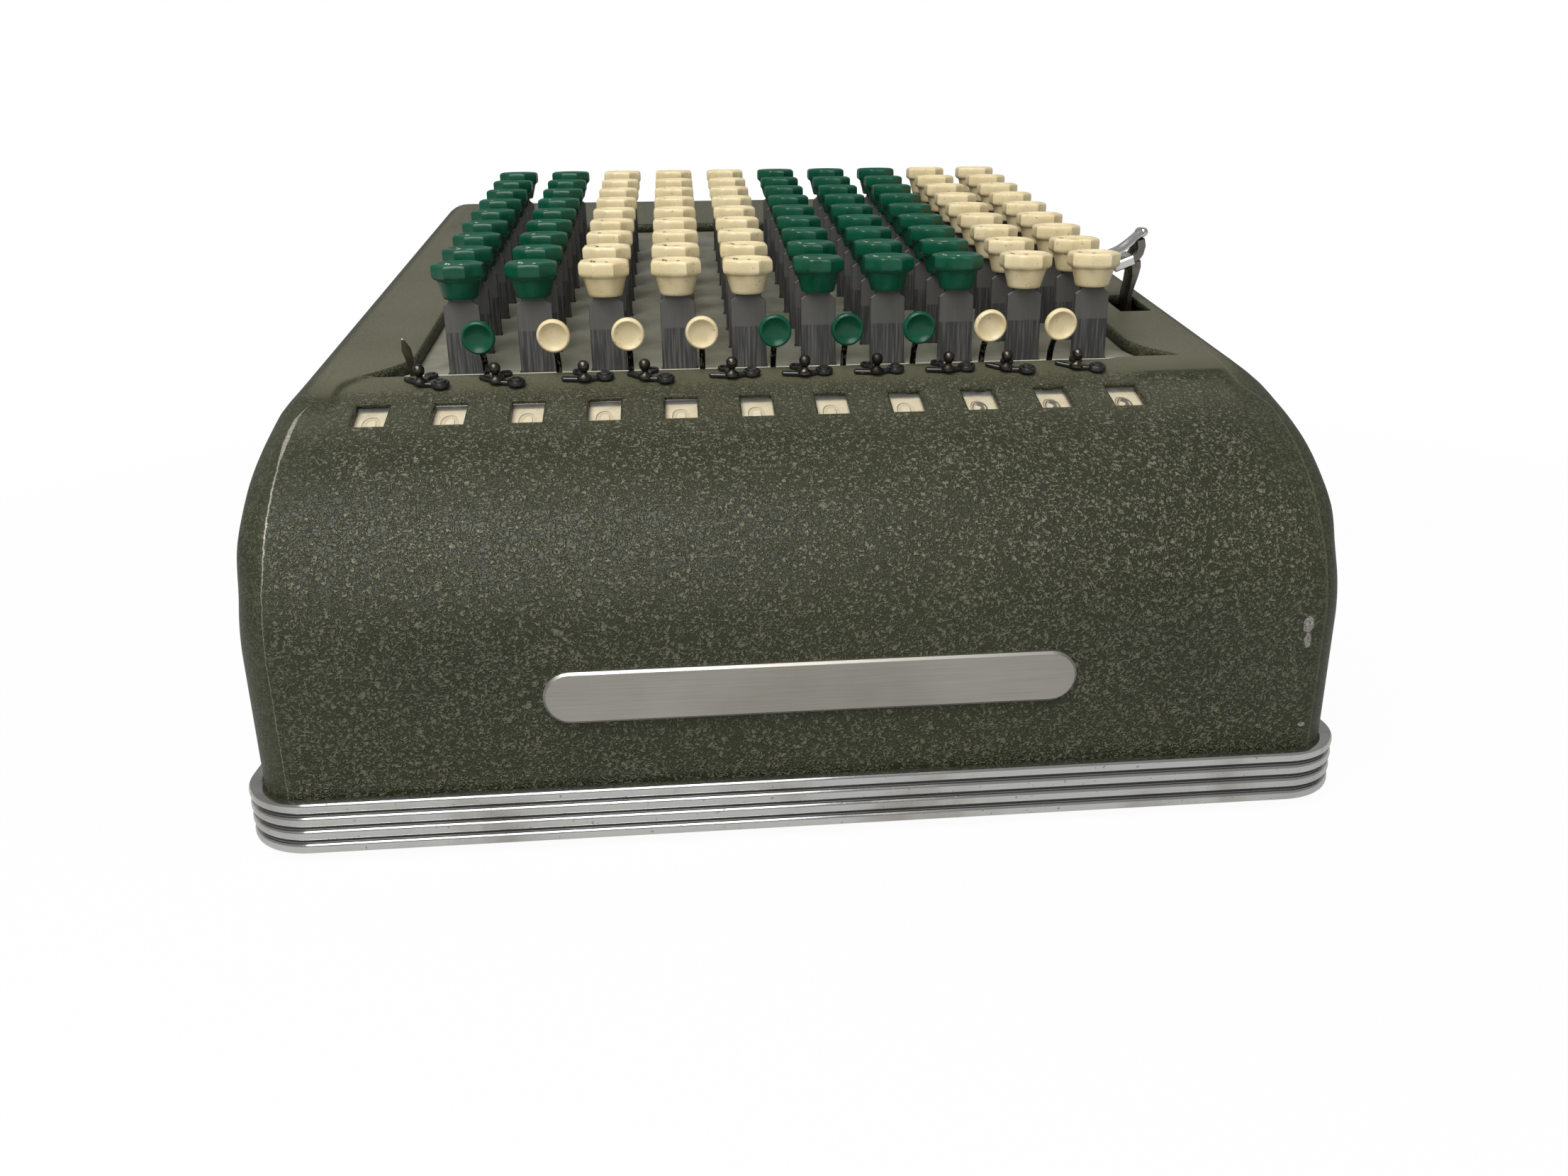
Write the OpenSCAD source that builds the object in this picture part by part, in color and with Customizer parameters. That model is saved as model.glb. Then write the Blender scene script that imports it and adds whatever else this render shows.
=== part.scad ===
// Key-driven calculating machine: ten columns of nine keys, eleven numeral wheels, one clearing lever.
// Millimetres, +Z up, front of the machine towards -Y, origin at the middle of its footprint on the table.

/* [Keyboard] */
// Number of key columns
columns = 10; // [4:1:10]
// Number of key rows
rows = 9; // [3:1:9]
// Spacing of the key columns
column_pitch = 19.05; // [18:0.05:20]
// Spacing of the key rows along the slope
row_pitch = 18; // [17:0.1:19]
// Slope of the keyboard above the table, in degrees
slope = 10; // [6:0.5:12]
// Sideways place of the keyboard's middle
keyboard_x = 1; // [0:0.1:2]
// Distance of the first key row from the casing's front
row1_back = 77; // [71:0.5:81]
// Height of the first row's key tops
key_top_z = 128.8; // [122:0.1:134]
// Downward travel of a key
key_travel = 8; // [4:0.5:9]

/* [Keys] */
// Width of a key cap across its flats
cap_w = 14.4; // [12:0.1:15.5]
// Height of the cap's eight-sided head
cap_head_h = 5; // [3:0.1:7]
// Height of the cap's round neck
cap_neck_h = 5.5; // [3:0.1:8]
// Neck diameter under the head
neck_top_d = 10.6; // [9.8:0.1:12]
// Neck diameter at the stem
neck_low_d = 9.8; // [8:0.1:10.2]
// Depth of the dish in the cap
cap_dish_h = 0.7; // [0.3:0.1:1.5]
// Width of the rim round the dish
cap_rim_w = 1.4; // [0.8:0.1:2.5]
// Width of a flat key stem
stem_w = 9.4; // [6:0.1:10]
// Thickness of a flat key stem
stem_t = 1.6; // [1:0.1:2.4]
// Width of the tongue at the stem's foot
tongue_w = 3.6; // [2.4:0.1:4.4]
// Length of the tongue below the lower guide
tongue_reach = 4; // [2:0.5:6]
// Clearance of a stem in its slot
slot_gap = 0.3; // [0.2:0.05:0.6]

/* [Key springs] */
// Outer diameter of a key spring
spring_d = 6; // [5.6:0.1:7]
// Wall of a key spring, which is its wire diameter
spring_wire = 0.6; // [0.4:0.05:0.7]
// Height of a key spring when its key is down
spring_low_h = 4; // [3:0.5:5]

/* [Casing] */
// Width of the casing's shoulder beside the keyboard opening
shoulder_w = 30.5; // [26:0.5:36]
// Depth of the casing
casing_d = 322; // [310:1:340]
// Thickness of the casing's wall
wall = 2.5; // [1.5:0.1:3]
// Depth of the casing's top below the key tops, square to the slope
deck_drop = 25; // [24:0.5:26]
// Radius of the casing's nose, below the register windows
nose_r = 36; // [30:1:44]
// Turn of the panel's curve where it runs straight on to the nose, in degrees
nose_turn = 22; // [21:0.5:26]
// Radius of the casing's rear edge
rear_r = 20; // [16:0.5:24]
// Radius of the casing's sides and corners
edge_r = 13; // [10:0.5:15]
// Width of the casing's edge beside the sunk panel
cheek_w = 11; // [9:0.5:14]
// Depth of the sunk panel at the top
panel_drop = 0.6; // [0.4:0.1:1]
// Depth of the sunk panel at the front
panel_sink = 1; // [0.5:0.25:1.5]
// Distance of the opening's side from the middle of the outer key column
opening_side = 12.775; // [12:0.025:14]
// How far the opening's two front tips stand out from its sides
tip_out = 8.5; // [5:0.5:10]
// Distance of the opening's front edge from the first row
opening_front = 14; // [13.5:0.1:15]
// Length over which the opening's sides flare to the tips
flare_l = 16; // [10:1:30]
// Distance of the opening's rear edge behind the last row
opening_rear = 28; // [20:1:34]

/* [Register] */
// Width of a register window
window_w = 8; // [6:0.1:10]
// Length of a register window along the slope
window_l = 9.6; // [6:0.1:10]
// Distance of the windows' middle in front of the keyboard opening
window_ahead = 22.9; // [20:0.1:24]
// Thickness of the window glass strip
glass_t = 1; // [0.6:0.1:1.5]
// Margin of the glass strip round the windows
glass_margin = 2.5; // [1.5:0.1:4]
// Radius of a numeral wheel
wheel_r = 17; // [14:0.5:18]
// Width of a numeral wheel's rim
wheel_w = 11; // [8:0.5:13]
// Radius of the numeral shaft
shaft_r = 3; // [2:0.1:4]
// Running clearance of the wheels on their shaft
shaft_gap = 0.06; // [0.03:0.01:0.1]
// Clearance between the wheels and the glass
wheel_gap = 0.6; // [0.4:0.1:1.2]

/* [Decimal pointers] */
// Sideways place of a pointer's pin from the window on its left
pointer_side = 11.75; // [11:0.05:12.5]
// Distance of the pointers' pins in front of the keyboard opening
pointer_ahead = 2.4; // [2.2:0.1:4]
// Length of a pointer from its pin to its ball
pointer_l = 6.2; // [5:0.1:8]
// Length of a pointer's arm from its ball to its round button
pointer_arm = 5.5; // [4.5:0.1:6.5]
// Length of a pointer's tail from its ball to its tip
pointer_tail = 5.2; // [4:0.1:6]
// Rise of a pointer's tail from the cross direction, in degrees
tail_rise = 24; // [10:1:40]
// Thickness of a pointer
pointer_t = 0.9; // [0.6:0.1:1.4]
// Diameter of the eye round a pointer's pin
pointer_eye_d = 3.6; // [3:0.1:4]
// Diameter of a pointer's round button
pointer_button_d = 4.6; // [3.5:0.1:5]
// Height of a pointer's round button
pointer_button_h = 1.8; // [1.5:0.1:2.4]
// Diameter of the tip of a pointer's tail
pointer_tip_d = 2.4; // [2.1:0.1:3]
// Diameter of the ball on a pointer
pointer_ball_d = 3; // [2:0.1:4]
// Height of the ball's middle above the panel
pointer_ball_h = 4; // [3.2:0.1:5]
// Radius of a pointer's pin
pin_r = 1; // [0.7:0.05:1.2]
// Turn of a pointer to either side of straight ahead, in degrees
pointer_turn = 16; // [8:1:20]

/* [Carry cut-off tabs] */
// Sideways place of a tab from its key column
tab_x = -13; // [-13.4:0.1:-12.6]
// Diameter of a tab's button
button_d = 8.6; // [7:0.1:9]
// Thickness of a tab's button
button_t = 2.4; // [1.6:0.1:3]
// Height of the buttons above the casing's top, square to the slope
button_h = 10; // [8:0.5:12]
// Lean of a tab's upper part towards the front, in degrees
tab_lean = 35; // [20:1:38]
// Thickness of a tab's blade
tab_t = 1.2; // [0.8:0.1:1.8]
// Width of a tab's blade, front to back
tab_w = 2; // [1.4:0.1:2.2]
// Width of a tab's hub along its rod
tab_hub_w = 3; // [2:0.1:4]
// Distance of the tabs' pivot in front of the first row
tab_pivot_front = 11.3; // [11:0.1:11.5]
// Depth of the tabs' pivot below the casing's top
tab_pivot_drop = 11; // [10.5:0.1:11.5]
// Radius of the tabs' pivot rod
tab_rod_r = 1.4; // [1.2:0.05:1.5]
// Wall of a tab's hub
tab_hub_wall = 1.2; // [0.8:0.1:1.3]

/* [Clearing lever] */
// Distance of the clearing lever's arm from the opening's side
clear_out = 16.5; // [15.5:0.1:17.5]
// Place of the clearing lever behind the first row
clear_back = 44; // [40:0.5:48]
// Depth of the lever's pivot below the casing's top
clear_pivot_drop = 55; // [50:1:58]
// Thickness of the lever's arm
clear_arm_t = 3; // [2:0.1:3.6]
// Width of the lever's arm
clear_arm_w = 7; // [5:0.1:9]
// Radius of the finger plate's curve
paddle_r = 21; // [19:0.5:23]
// Thickness of the finger plate
paddle_t = 2.2; // [1.4:0.1:3]
// Depth of the finger plate, front to back
paddle_l = 15; // [10:0.5:18]
// Height of the finger plate's lowest point above the casing's top
paddle_h = 11; // [8:0.5:12]
// Rise of the finger plate's outer end above the middle of its curve, in degrees below level
paddle_rise = 22; // [15:1:30]
// How far the finger plate runs in past the lowest point of its curve
paddle_lead = 1.6; // [0:0.1:3]
// Forward swing of the lever, in degrees
clear_swing = 10; // [6:0.5:11]

/* [Base] */
// Height of the rubber feet below the base
foot_h = 2.5; // [1.5:0.1:5]
// Diameter of a rubber foot
foot_d = 20; // [14:0.5:26]
// Inset of the feet from the casing's sides
foot_inset = 34; // [30:1:44]
// Thickness of the base pan
pan_t = 2; // [1.2:0.1:3]
// How far the trim band stands out from the casing
trim_out = 4; // [2.5:0.1:5]
// Height of the trim band
trim_h = 12.7; // [10:0.1:16]
// Height of a groove in the trim band
groove_h = 0.9; // [0.5:0.05:1.4]
// Depth of a groove in the trim band
groove_depth = 0.9; // [0.4:0.05:1.4]
// Number of ribs on the trim band
ribs = 4; // [2:1:6]
// Clearance between the trim band and the casing
trim_gap = 0.2; // [0.1:0.05:0.5]
// Radius of a casing screw's shank
screw_r = 2; // [1.5:0.1:2.5]
// Radius of a casing screw's head
screw_head_r = 3.8; // [3:0.1:5]
// Height of a casing screw's head
screw_head_h = 1.6; // [1:0.1:2.2]
// Length of a casing screw's shank
screw_l = 18; // [10:1:24]

/* [Inner frame] */
// Thickness of the key plates
plate_t = 2; // [1.2:0.1:2.5]
// Depth of the keyboard plate below the casing's top
plate_drop = 3.2; // [3:0.1:4]
// Distance of the plates' front edge from the first row
plate_front = 9; // [8.6:0.1:9.2]
// Distance of the plates' rear edge behind the last row
plate_rear = 36; // [34:1:40]
// Distance between the two key plates
guide_drop = 24; // [20:0.5:26]
// Distance of the right side frame's outer face from the opening's side
frame_out = 12; // [11:0.1:12.5]
// Gap between the left side frame and the first numeral wheel
frame_wheel_gap = 3.5; // [2:0.1:5]
// Thickness of a side frame
frame_t = 2.5; // [1.5:0.1:3.5]
// Gap between the side frames' ends and the casing's front and rear
frame_gap = 30; // [27:1:33]
// Radius of a tie rod
tie_r = 3; // [2:0.1:4]
// Distance of the outer tie rods from the frames' ends
tie_inset = 10; // [8:0.5:14]
// Height of the lower tie rods above the pan
tie_low = 16; // [12:0.5:20]
// Height of the upper tie rod above the pan
tie_high = 80; // [76:0.5:84]
// How far a rod stands out of the frames
rod_end = 2; // [1:0.1:3]
// Radius of the column levers' shaft
lever_shaft_r = 2.5; // [2:0.1:3.5]
// Distance of the column levers' shaft from the frames' rear end
lever_shaft_in = 13; // [10:0.5:18]
// Height of the column levers' shaft above the pan
lever_shaft_h = 51.5; // [46:0.5:53]
// Height of a column lever's bar
lever_h = 7; // [4:0.5:8]
// Thickness of a column lever
lever_t = 2; // [1.2:0.1:3]
// Wall of a column lever's hub
lever_hub_wall = 2.5; // [1.5:0.1:4]

/* [Hidden] */
$fn = 48;
function two_digits(i) = i < 10 ? str("0", i) : str(i);
// Widths from the keyboard outwards
opening_half_w = (columns - 1) / 2 * column_pitch + opening_side;
opening_tip_x = opening_half_w + tip_out;
frame_half_w = opening_half_w + frame_out;
frame_in = frame_half_w - frame_t;
left_frame_x = window_x(0) - wheel_w / 2 - frame_wheel_gap - frame_t;
casing_w = 2 * (opening_half_w + shoulder_w);
panel_half_w = casing_w / 2 - cheek_w;
clear_x = opening_half_w + clear_out;
// Places front to back
row1_y = -casing_d / 2 + row1_back;
window_front = opening_front + window_ahead;
pointer_front = opening_front + pointer_ahead;
frame_d = casing_d - 2 * frame_gap;
lever_shaft_y = frame_d / 2 - lever_shaft_in;
// Sine and cosine of the slope, which place everything on the keyboard
sa = sin(slope);
ca = cos(slope);
// A point given along the slope (v) and square to it (w), from the first row's key tops
function slope_y(v, w) = row1_y + v * ca - w * sa;
function slope_z(v, w) = key_top_z + v * sa + w * ca;
function slope_v(y, w) = (y - row1_y + w * sa) / ca;
// Sideways places of the columns and of the windows, which have one more on the left
function column_x(i) = keyboard_x + (i - (columns - 1) / 2) * column_pitch;
function window_x(i) = column_x(i - 1);
function pointer_x(i) = window_x(i) + pointer_side;
// Columns run green, green, cream, cream, cream, green, green, green, cream, cream
function column_color(i) = i < 2 || (i > 4 && i < 8) ? [0, 0.31, 0.2] : [0.86, 0.79, 0.62];
// Levels square to the slope
deck_w = -deck_drop;
panel_w = deck_w - panel_drop;
plate_w = deck_w - plate_drop;
guide_w = plate_w - plate_t - guide_drop;
row_last_v = (rows - 1) * row_pitch;
// Base levels
pan_z = foot_h;
floor_z = pan_z + pan_t;
lever_shaft_z = floor_z + lever_shaft_h;
spring_h = spring_low_h + key_travel;
stem_sink = 2;
// Small overlaps that join solids and clear cuts
join = 0.5;
cut = 1;
flat_gap = 0.1;
// The panel's curve starts just in front of the opening and ends upright at the front
panel_edge = 0.56;
panel_mid_v = -opening_front - panel_edge;
panel_r = (slope_y(panel_mid_v, panel_w) + casing_d / 2 - panel_sink) / (1 - sa);
panel_mid_w = panel_w - panel_r;
// The casing's front runs round the same middle, so the panel is sunk evenly
front_r = panel_r + panel_sink;
// Angle on the panel's curve of a place in front of the first row
function panel_angle(front) = asin((front + panel_mid_v) / panel_r);
// Register places, measured from the middle of the panel's curve, under which the flat glass lies
glass_sag = pow(window_l / 2 + glass_margin, 2) / (2 * (panel_r - wall));
glass_r = panel_r - wall - glass_sag - flat_gap;
wheel_axis_r = glass_r - glass_t - wheel_gap - wheel_r;
wheel_v = panel_mid_v - wheel_axis_r * sin(panel_angle(window_front));
wheel_w_level = panel_mid_w + wheel_axis_r * cos(panel_angle(window_front));
wheel_y = slope_y(wheel_v, wheel_w_level);
wheel_z = slope_z(wheel_v, wheel_w_level);
// Carry cut-off pivot
tab_rod_v = -tab_pivot_front;
tab_rod_w = deck_w - tab_pivot_drop;
tab_rod_y = slope_y(tab_rod_v, tab_rod_w);
tab_rod_z = slope_z(tab_rod_v, tab_rod_w);
tab_hub_r = tab_rod_r + tab_hub_wall;
bend_up = 1;
tab_bend_h = tab_pivot_drop + bend_up;
tab_len = (tab_pivot_drop + button_h - tab_bend_h) / cos(tab_lean);
tab_gap = 0.08;
// Clearing lever pivot
clear_v = clear_back;
clear_w = deck_w - clear_pivot_drop;
clear_y = slope_y(clear_v, clear_w);
clear_z = slope_z(clear_v, clear_w);
clear_hub_r = 7;
clear_shaft_r = 3;
clear_slot_gap = 1.2;
paddle_mid_x = clear_x - clear_out;
paddle_mid_w = deck_w + paddle_h + paddle_r;
// Casing screws sit in posts at the casing's four inner corners
post_r = 9;
post_h = 22;
post_sink = 1.2;
post_x = casing_w / 2 - wall - post_r + post_sink;
post_y = casing_d / 2 - wall - post_r + post_sink;
thread_gap = 0.05;
// Tie rods, as places front to back and heights
tie_y = frame_d / 2 - tie_inset;
tie_places = [[-tie_y, floor_z + tie_low], [0, floor_z + tie_low], [tie_y, floor_z + tie_low],
    [tie_y, floor_z + tie_high]];
shaft_fit = 0.05;
// Metal of the side frames round their front holes
frame_land = 5;

module on_slope() translate([0, row1_y, key_top_z]) rotate([slope, 0, 0]) children();

// The frame of a place on the panel's curve, square to its surface, at a radius from the curve's middle
module on_panel(front, r)
    on_slope() translate([0, panel_mid_v, panel_mid_w]) rotate([panel_angle(front), 0, 0])
        translate([0, 0, r]) children();

// A rectangle with round corners, middle at the origin
module round_plan(w, d, r) {
    square([w - 2 * r, d], center = true);
    square([w, d - 2 * r], center = true);
    for (x = [-1, 1], y = [-1, 1]) translate([x * (w / 2 - r), y * (d / 2 - r)]) circle(r);
}

// Points along an arc, from one angle to another
function arc(mid, r, from, to, steps) =
    [for (k = [0 : steps]) let (t = from + (to - from) * k / steps) mid + r * [cos(t), sin(t)]];

// The casing's outer form, or a copy of it set in from its sides, front and top:
// its side view, its plan and its front view, each drawn out and all three intersected
module casing_form(side_in, front_in, deck_in, r_front, low_z) {
    half_w = casing_w / 2 - side_in;
    r_edge = edge_r - side_in;
    r_rear = rear_r - side_in;
    front_y = -casing_d / 2 + front_in;
    rear_y = casing_d / 2 - side_in;
    top_w = deck_w - deck_in;
    front_v = slope_v(front_y + r_front, top_w - r_front);
    front_mid = [front_y + r_front, slope_z(front_v, top_w - r_front)];
    rear_v = slope_v(rear_y - r_rear, top_w - r_rear);
    rear_mid = [rear_y - r_rear, slope_z(rear_v, top_w - r_rear)];
    far = casing_d;
    mid_y = (front_y + rear_y) / 2;
    plan_x = half_w - r_edge;
    plan_y = (rear_y - front_y) / 2 - r_edge;
    intersection() {
        translate([-far / 2, 0, 0]) rotate([90, 0, 90]) linear_extrude(far) polygon(concat(
            [[front_y, low_z]], front_curve(front_mid, r_front, front_y, r_front - panel_r + nose_r),
            arc(rear_mid, r_rear, 90 + slope, 0, 10), [[rear_y, low_z]]));
        translate([0, mid_y, low_z - cut]) linear_extrude(far) polygon(concat(
            arc([plan_x, plan_y], r_edge, 0, 90, 8), arc([-plan_x, plan_y], r_edge, 90, 180, 8),
            arc([-plan_x, -plan_y], r_edge, 180, 270, 8), arc([plan_x, -plan_y], r_edge, 270, 360, 8)));
        on_slope() translate([0, -far, top_w]) rotate([90, 0, 180]) linear_extrude(3 * far) polygon(concat(
            [[half_w, -far]], arc([plan_x, -r_edge], r_edge, 0, 90, 8),
            arc([-plan_x, -r_edge], r_edge, 90, 180, 8), [[-half_w, -far]]));
    }
}

// The front's outline from its upright foot to the ridge: the nose, a straight run and the panel's curve
function front_curve(mid, r, front_y, r_nose) =
    let (turn = slope + nose_turn)
    let (run = (mid[0] - r * sin(turn) - front_y - r_nose * (1 - sin(turn))) / cos(turn))
    let (nose_mid = mid + (r - r_nose) * [-sin(turn), cos(turn)] - run * [cos(turn), sin(turn)])
    concat(arc(nose_mid, r_nose, 180, 90 + turn, 12), arc(mid, r, 90 + turn, 90 + slope, 8));

// What is cut from the front to sink the panel that carries the windows
module panel_cut() {
    front_y = -casing_d / 2 + panel_sink;
    mid = [front_y + panel_r, slope_z(panel_mid_v, panel_mid_w)];
    far = 1.5 * panel_r;
    over = (panel_edge + cut) * [ca, sa];
    translate([-panel_half_w, 0, 0]) rotate([90, 0, 90]) linear_extrude(2 * panel_half_w) polygon(concat(
        [[front_y, 0]], front_curve(mid, panel_r, front_y, nose_r),
        [mid + panel_r * [-sa, ca] + over, mid + far * [-sa, ca] + over],
        [[front_y - far, mid[1] + far], [front_y - far, 0]]));
}

// The keyboard opening in the casing's top, with flared front tips
module opening_outline() {
    back = row_last_v + opening_rear;
    steps = 8;
    flare = [for (k = [0 : steps]) let (t = k / steps)
        [opening_half_w + (opening_tip_x - opening_half_w) * pow(1 - t, 2), -opening_front + flare_l * t]];
    polygon(concat(flare, [[opening_half_w, back], [-opening_half_w, back]],
        [for (k = [steps : -1 : 0]) [-flare[k][0], flare[k][1]]]));
}

module casing() {
    color([0.27, 0.26, 0.19]) difference() {
        union() {
            difference() {
                casing_form(0, 0, 0, front_r, floor_z);
                panel_cut();
                casing_form(wall, panel_sink + wall, panel_drop + wall, panel_r - wall, floor_z - cut);
            }
            for (x = [-1, 1], y = [-1, 1]) translate([x * post_x, y * post_y, floor_z])
                cylinder(r = post_r, h = post_h);
        }
        for (x = [-1, 1], y = [-1, 1]) translate([x * post_x, y * post_y, floor_z - cut])
            cylinder(r = screw_r + thread_gap, h = screw_l - pan_t + 2 * cut);
        on_slope() translate([0, 0, deck_w - 3 * wall]) linear_extrude(6 * wall) opening_outline();
        for (i = [0 : columns]) on_panel(window_front, panel_r) translate([window_x(i), 0, 0])
            cube([window_w, window_l, 4 * wall], center = true);
        for (i = [0 : columns - 1])
            on_panel(pointer_front, panel_r - 2 * wall) translate([pointer_x(i), 0, 0])
                cylinder(r = pin_r + shaft_gap, h = 4 * wall);
        clear_slot();
    }
}

// The slot in the right shoulder that the clearing lever swings in
module clear_slot() {
    swing = clear_pivot_drop * tan(clear_swing);
    slot_l = clear_arm_w + 2 * clear_slot_gap + swing;
    on_slope() translate([clear_x, clear_v + clear_arm_w / 2 + clear_slot_gap - slot_l / 2, deck_w])
        cube([clear_arm_t + 2 * clear_slot_gap, slot_l, 4 * wall], center = true);
}

module trim_ring(out) {
    difference() {
        round_plan(casing_w + 2 * out, casing_d + 2 * out, edge_r + out);
        round_plan(casing_w + 2 * trim_gap, casing_d + 2 * trim_gap, edge_r + trim_gap);
    }
}

// Bright band round the foot of the casing
module base_trim() {
    rib_h = (trim_h - (ribs - 1) * groove_h) / ribs;
    color([0.85, 0.86, 0.88]) translate([0, 0, pan_z]) {
        linear_extrude(trim_h) trim_ring(trim_out - groove_depth);
        for (k = [0 : ribs - 1]) translate([0, 0, k * (rib_h + groove_h)])
            linear_extrude(rib_h) trim_ring(trim_out);
    }
}

// Flat pan that closes the bottom
module base_pan() {
    color([0.2, 0.2, 0.2]) difference() {
        translate([0, 0, pan_z]) linear_extrude(pan_t) round_plan(casing_w, casing_d, edge_r);
        for (x = [-1, 1], y = [-1, 1]) translate([x * post_x, y * post_y, pan_z - cut])
            cylinder(r = screw_r + thread_gap, h = pan_t + 2 * cut);
    }
}

module rubber_feet() {
    color([0.07, 0.07, 0.07]) for (x = [-1, 1], y = [-1, 1])
        translate([x * (casing_w / 2 - foot_inset), y * (casing_d / 2 - foot_inset), 0])
            cylinder(d = foot_d, h = foot_h);
}

module casing_screws() {
    color([0.6, 0.6, 0.58]) for (x = [-1, 1], y = [-1, 1]) translate([x * post_x, y * post_y, pan_z]) {
        translate([0, 0, -screw_head_h]) cylinder(r = screw_head_r, h = screw_head_h);
        translate([0, 0, -join]) cylinder(r = screw_r, h = screw_l + join);
    }
}

// One side frame, drawn front to back and upwards, carried on the pan and carrying the plates
module side_frame(x) {
    front = -frame_d / 2;
    back = frame_d / 2;
    under = plate_w - plate_t;
    back_v = slope_v(back, under);
    nose_v = -tab_pivot_front - frame_land;
    nose_w = under - wall;
    color([0.45, 0.45, 0.42]) translate([x, 0, 0]) rotate([90, 0, 90]) linear_extrude(frame_t) difference() {
        polygon([[front, floor_z], [back, floor_z], [back, slope_z(back_v, under)],
            [slope_y(-plate_front, under), slope_z(-plate_front, under)],
            [slope_y(nose_v, nose_w), slope_z(nose_v, nose_w)],
            [wheel_y - frame_land, wheel_z + 2 * frame_land], [front, wheel_z - frame_land]]);
        translate([wheel_y, wheel_z]) circle(shaft_r + shaft_fit);
        translate([lever_shaft_y, lever_shaft_z]) circle(lever_shaft_r + shaft_fit);
        translate([tab_rod_y, tab_rod_z]) circle(tab_rod_r + shaft_fit);
        translate([clear_y, clear_z]) circle(clear_shaft_r + shaft_fit);
        for (p = tie_places) translate(p) circle(tie_r + shaft_fit);
    }
}

module left_side_frame() side_frame(left_frame_x);

module right_side_frame() side_frame(frame_in);

// A rod across the machine at a place front to back and a height, standing out of both frames
module cross_rod(y, z, r, out) translate([left_frame_x - out, y, z]) rotate([0, 90, 0])
    cylinder(r = r, h = frame_half_w - left_frame_x + 2 * out);

module tie_rods() color([0.6, 0.6, 0.58]) for (p = tie_places) cross_rod(p[0], p[1], tie_r, rod_end);

module lever_shaft() color([0.6, 0.6, 0.58]) cross_rod(lever_shaft_y, lever_shaft_z, lever_shaft_r, rod_end);

module numeral_shaft() color([0.6, 0.6, 0.58]) cross_rod(wheel_y, wheel_z, shaft_r, rod_end);

module cutoff_pivot_rod() color([0.6, 0.6, 0.58]) cross_rod(tab_rod_y, tab_rod_z, tab_rod_r, rod_end / 2);

// Short shaft in the right frame that carries the clearing lever
module clear_pivot_shaft() {
    from_x = frame_in - rod_end;
    color([0.6, 0.6, 0.58])
        translate([from_x, clear_y, clear_z]) rotate([0, 90, 0])
            cylinder(r = clear_shaft_r, h = clear_x + clear_arm_t / 2 + rod_end - from_x);
}

// Slots for all the stems, along the slope; a stem stands upright in the sloped plate
module stem_slots(w) {
    long = stem_t / ca + plate_t * sa + 2 * slot_gap;
    for (i = [0 : columns - 1], r = [0 : rows - 1])
        translate([column_x(i), r * row_pitch]) square([w + 2 * slot_gap, long], center = true);
}

// A key plate square to the slope, its slots shifted to where the upright stems pass
module key_plate(w, slot_w, left, right) {
    on_slope() translate([0, 0, w - plate_t]) linear_extrude(plate_t) difference() {
        translate([left, -plate_front]) square([right - left, plate_front + row_last_v + plate_rear]);
        translate([0, stem_shift(w - plate_t / 2)]) stem_slots(slot_w);
    }
}

// How far along the slope an upright stem has moved at a level below the key tops
function stem_shift(w) = w * sa / ca;

module key_top_plate() color([0.47, 0.46, 0.41]) key_plate(plate_w, stem_w, left_frame_x, frame_half_w);

module key_lower_guide() color([0.42, 0.42, 0.4])
    key_plate(guide_w, tongue_w, left_frame_x + frame_t + flat_gap, frame_in - flat_gap);

// Height of a guide plate's top face above a key's place, at the high edge of a round part on it
function guide_top_z(r) = key_top_z + r * row_pitch * sa + guide_w / ca;
function spring_low_z(r) = guide_top_z(r) + spring_d / 2 * sa / ca + flat_gap;
function key_y(r) = row1_y + r * row_pitch * ca;
function key_z(r) = key_top_z + r * row_pitch * sa;

module key_springs() {
    color([0.7, 0.7, 0.68]) for (i = [0 : columns - 1], r = [0 : rows - 1])
        translate([column_x(i), key_y(r), spring_low_z(r)]) difference() {
            cylinder(d = spring_d, h = spring_h, $fn = 24);
            translate([0, 0, -cut])
                cylinder(d = spring_d - 2 * spring_wire, h = spring_h + 2 * cut, $fn = 24);
        }
}

// One key: eight-sided dished head, round neck, flat stem, narrow tongue
module key(i, r) {
    x = column_x(i);
    y = key_y(r);
    z = key_z(r);
    half_side = 360 / 16;
    cap_h = cap_head_h + cap_neck_h;
    stem_top_z = z - cap_h + stem_sink;
    shoulder_z = spring_low_z(r) + spring_h + flat_gap;
    tongue_z = guide_top_z(r) - plate_t - tongue_reach;
    translate([x, y, z]) rotate([slope, 0, 0]) difference() {
        union() {
            translate([0, 0, -cap_head_h]) rotate(half_side)
                cylinder(d = cap_w / cos(half_side), h = cap_head_h, $fn = 8);
            translate([0, 0, -cap_h]) cylinder(d1 = neck_low_d, d2 = neck_top_d, h = cap_neck_h + join);
        }
        translate([0, 0, -cap_dish_h]) cylinder(d = cap_w - 2 * cap_rim_w, h = cap_dish_h + cut);
    }
    translate([x - stem_w / 2, y - stem_t / 2, shoulder_z]) cube([stem_w, stem_t, stem_top_z - shoulder_z]);
    translate([x - tongue_w / 2, y - stem_t / 2, tongue_z])
        cube([tongue_w, stem_t, shoulder_z - tongue_z + join]);
}

module key_column(i) color(column_color(i)) for (r = [0 : rows - 1]) key(i, r);

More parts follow.
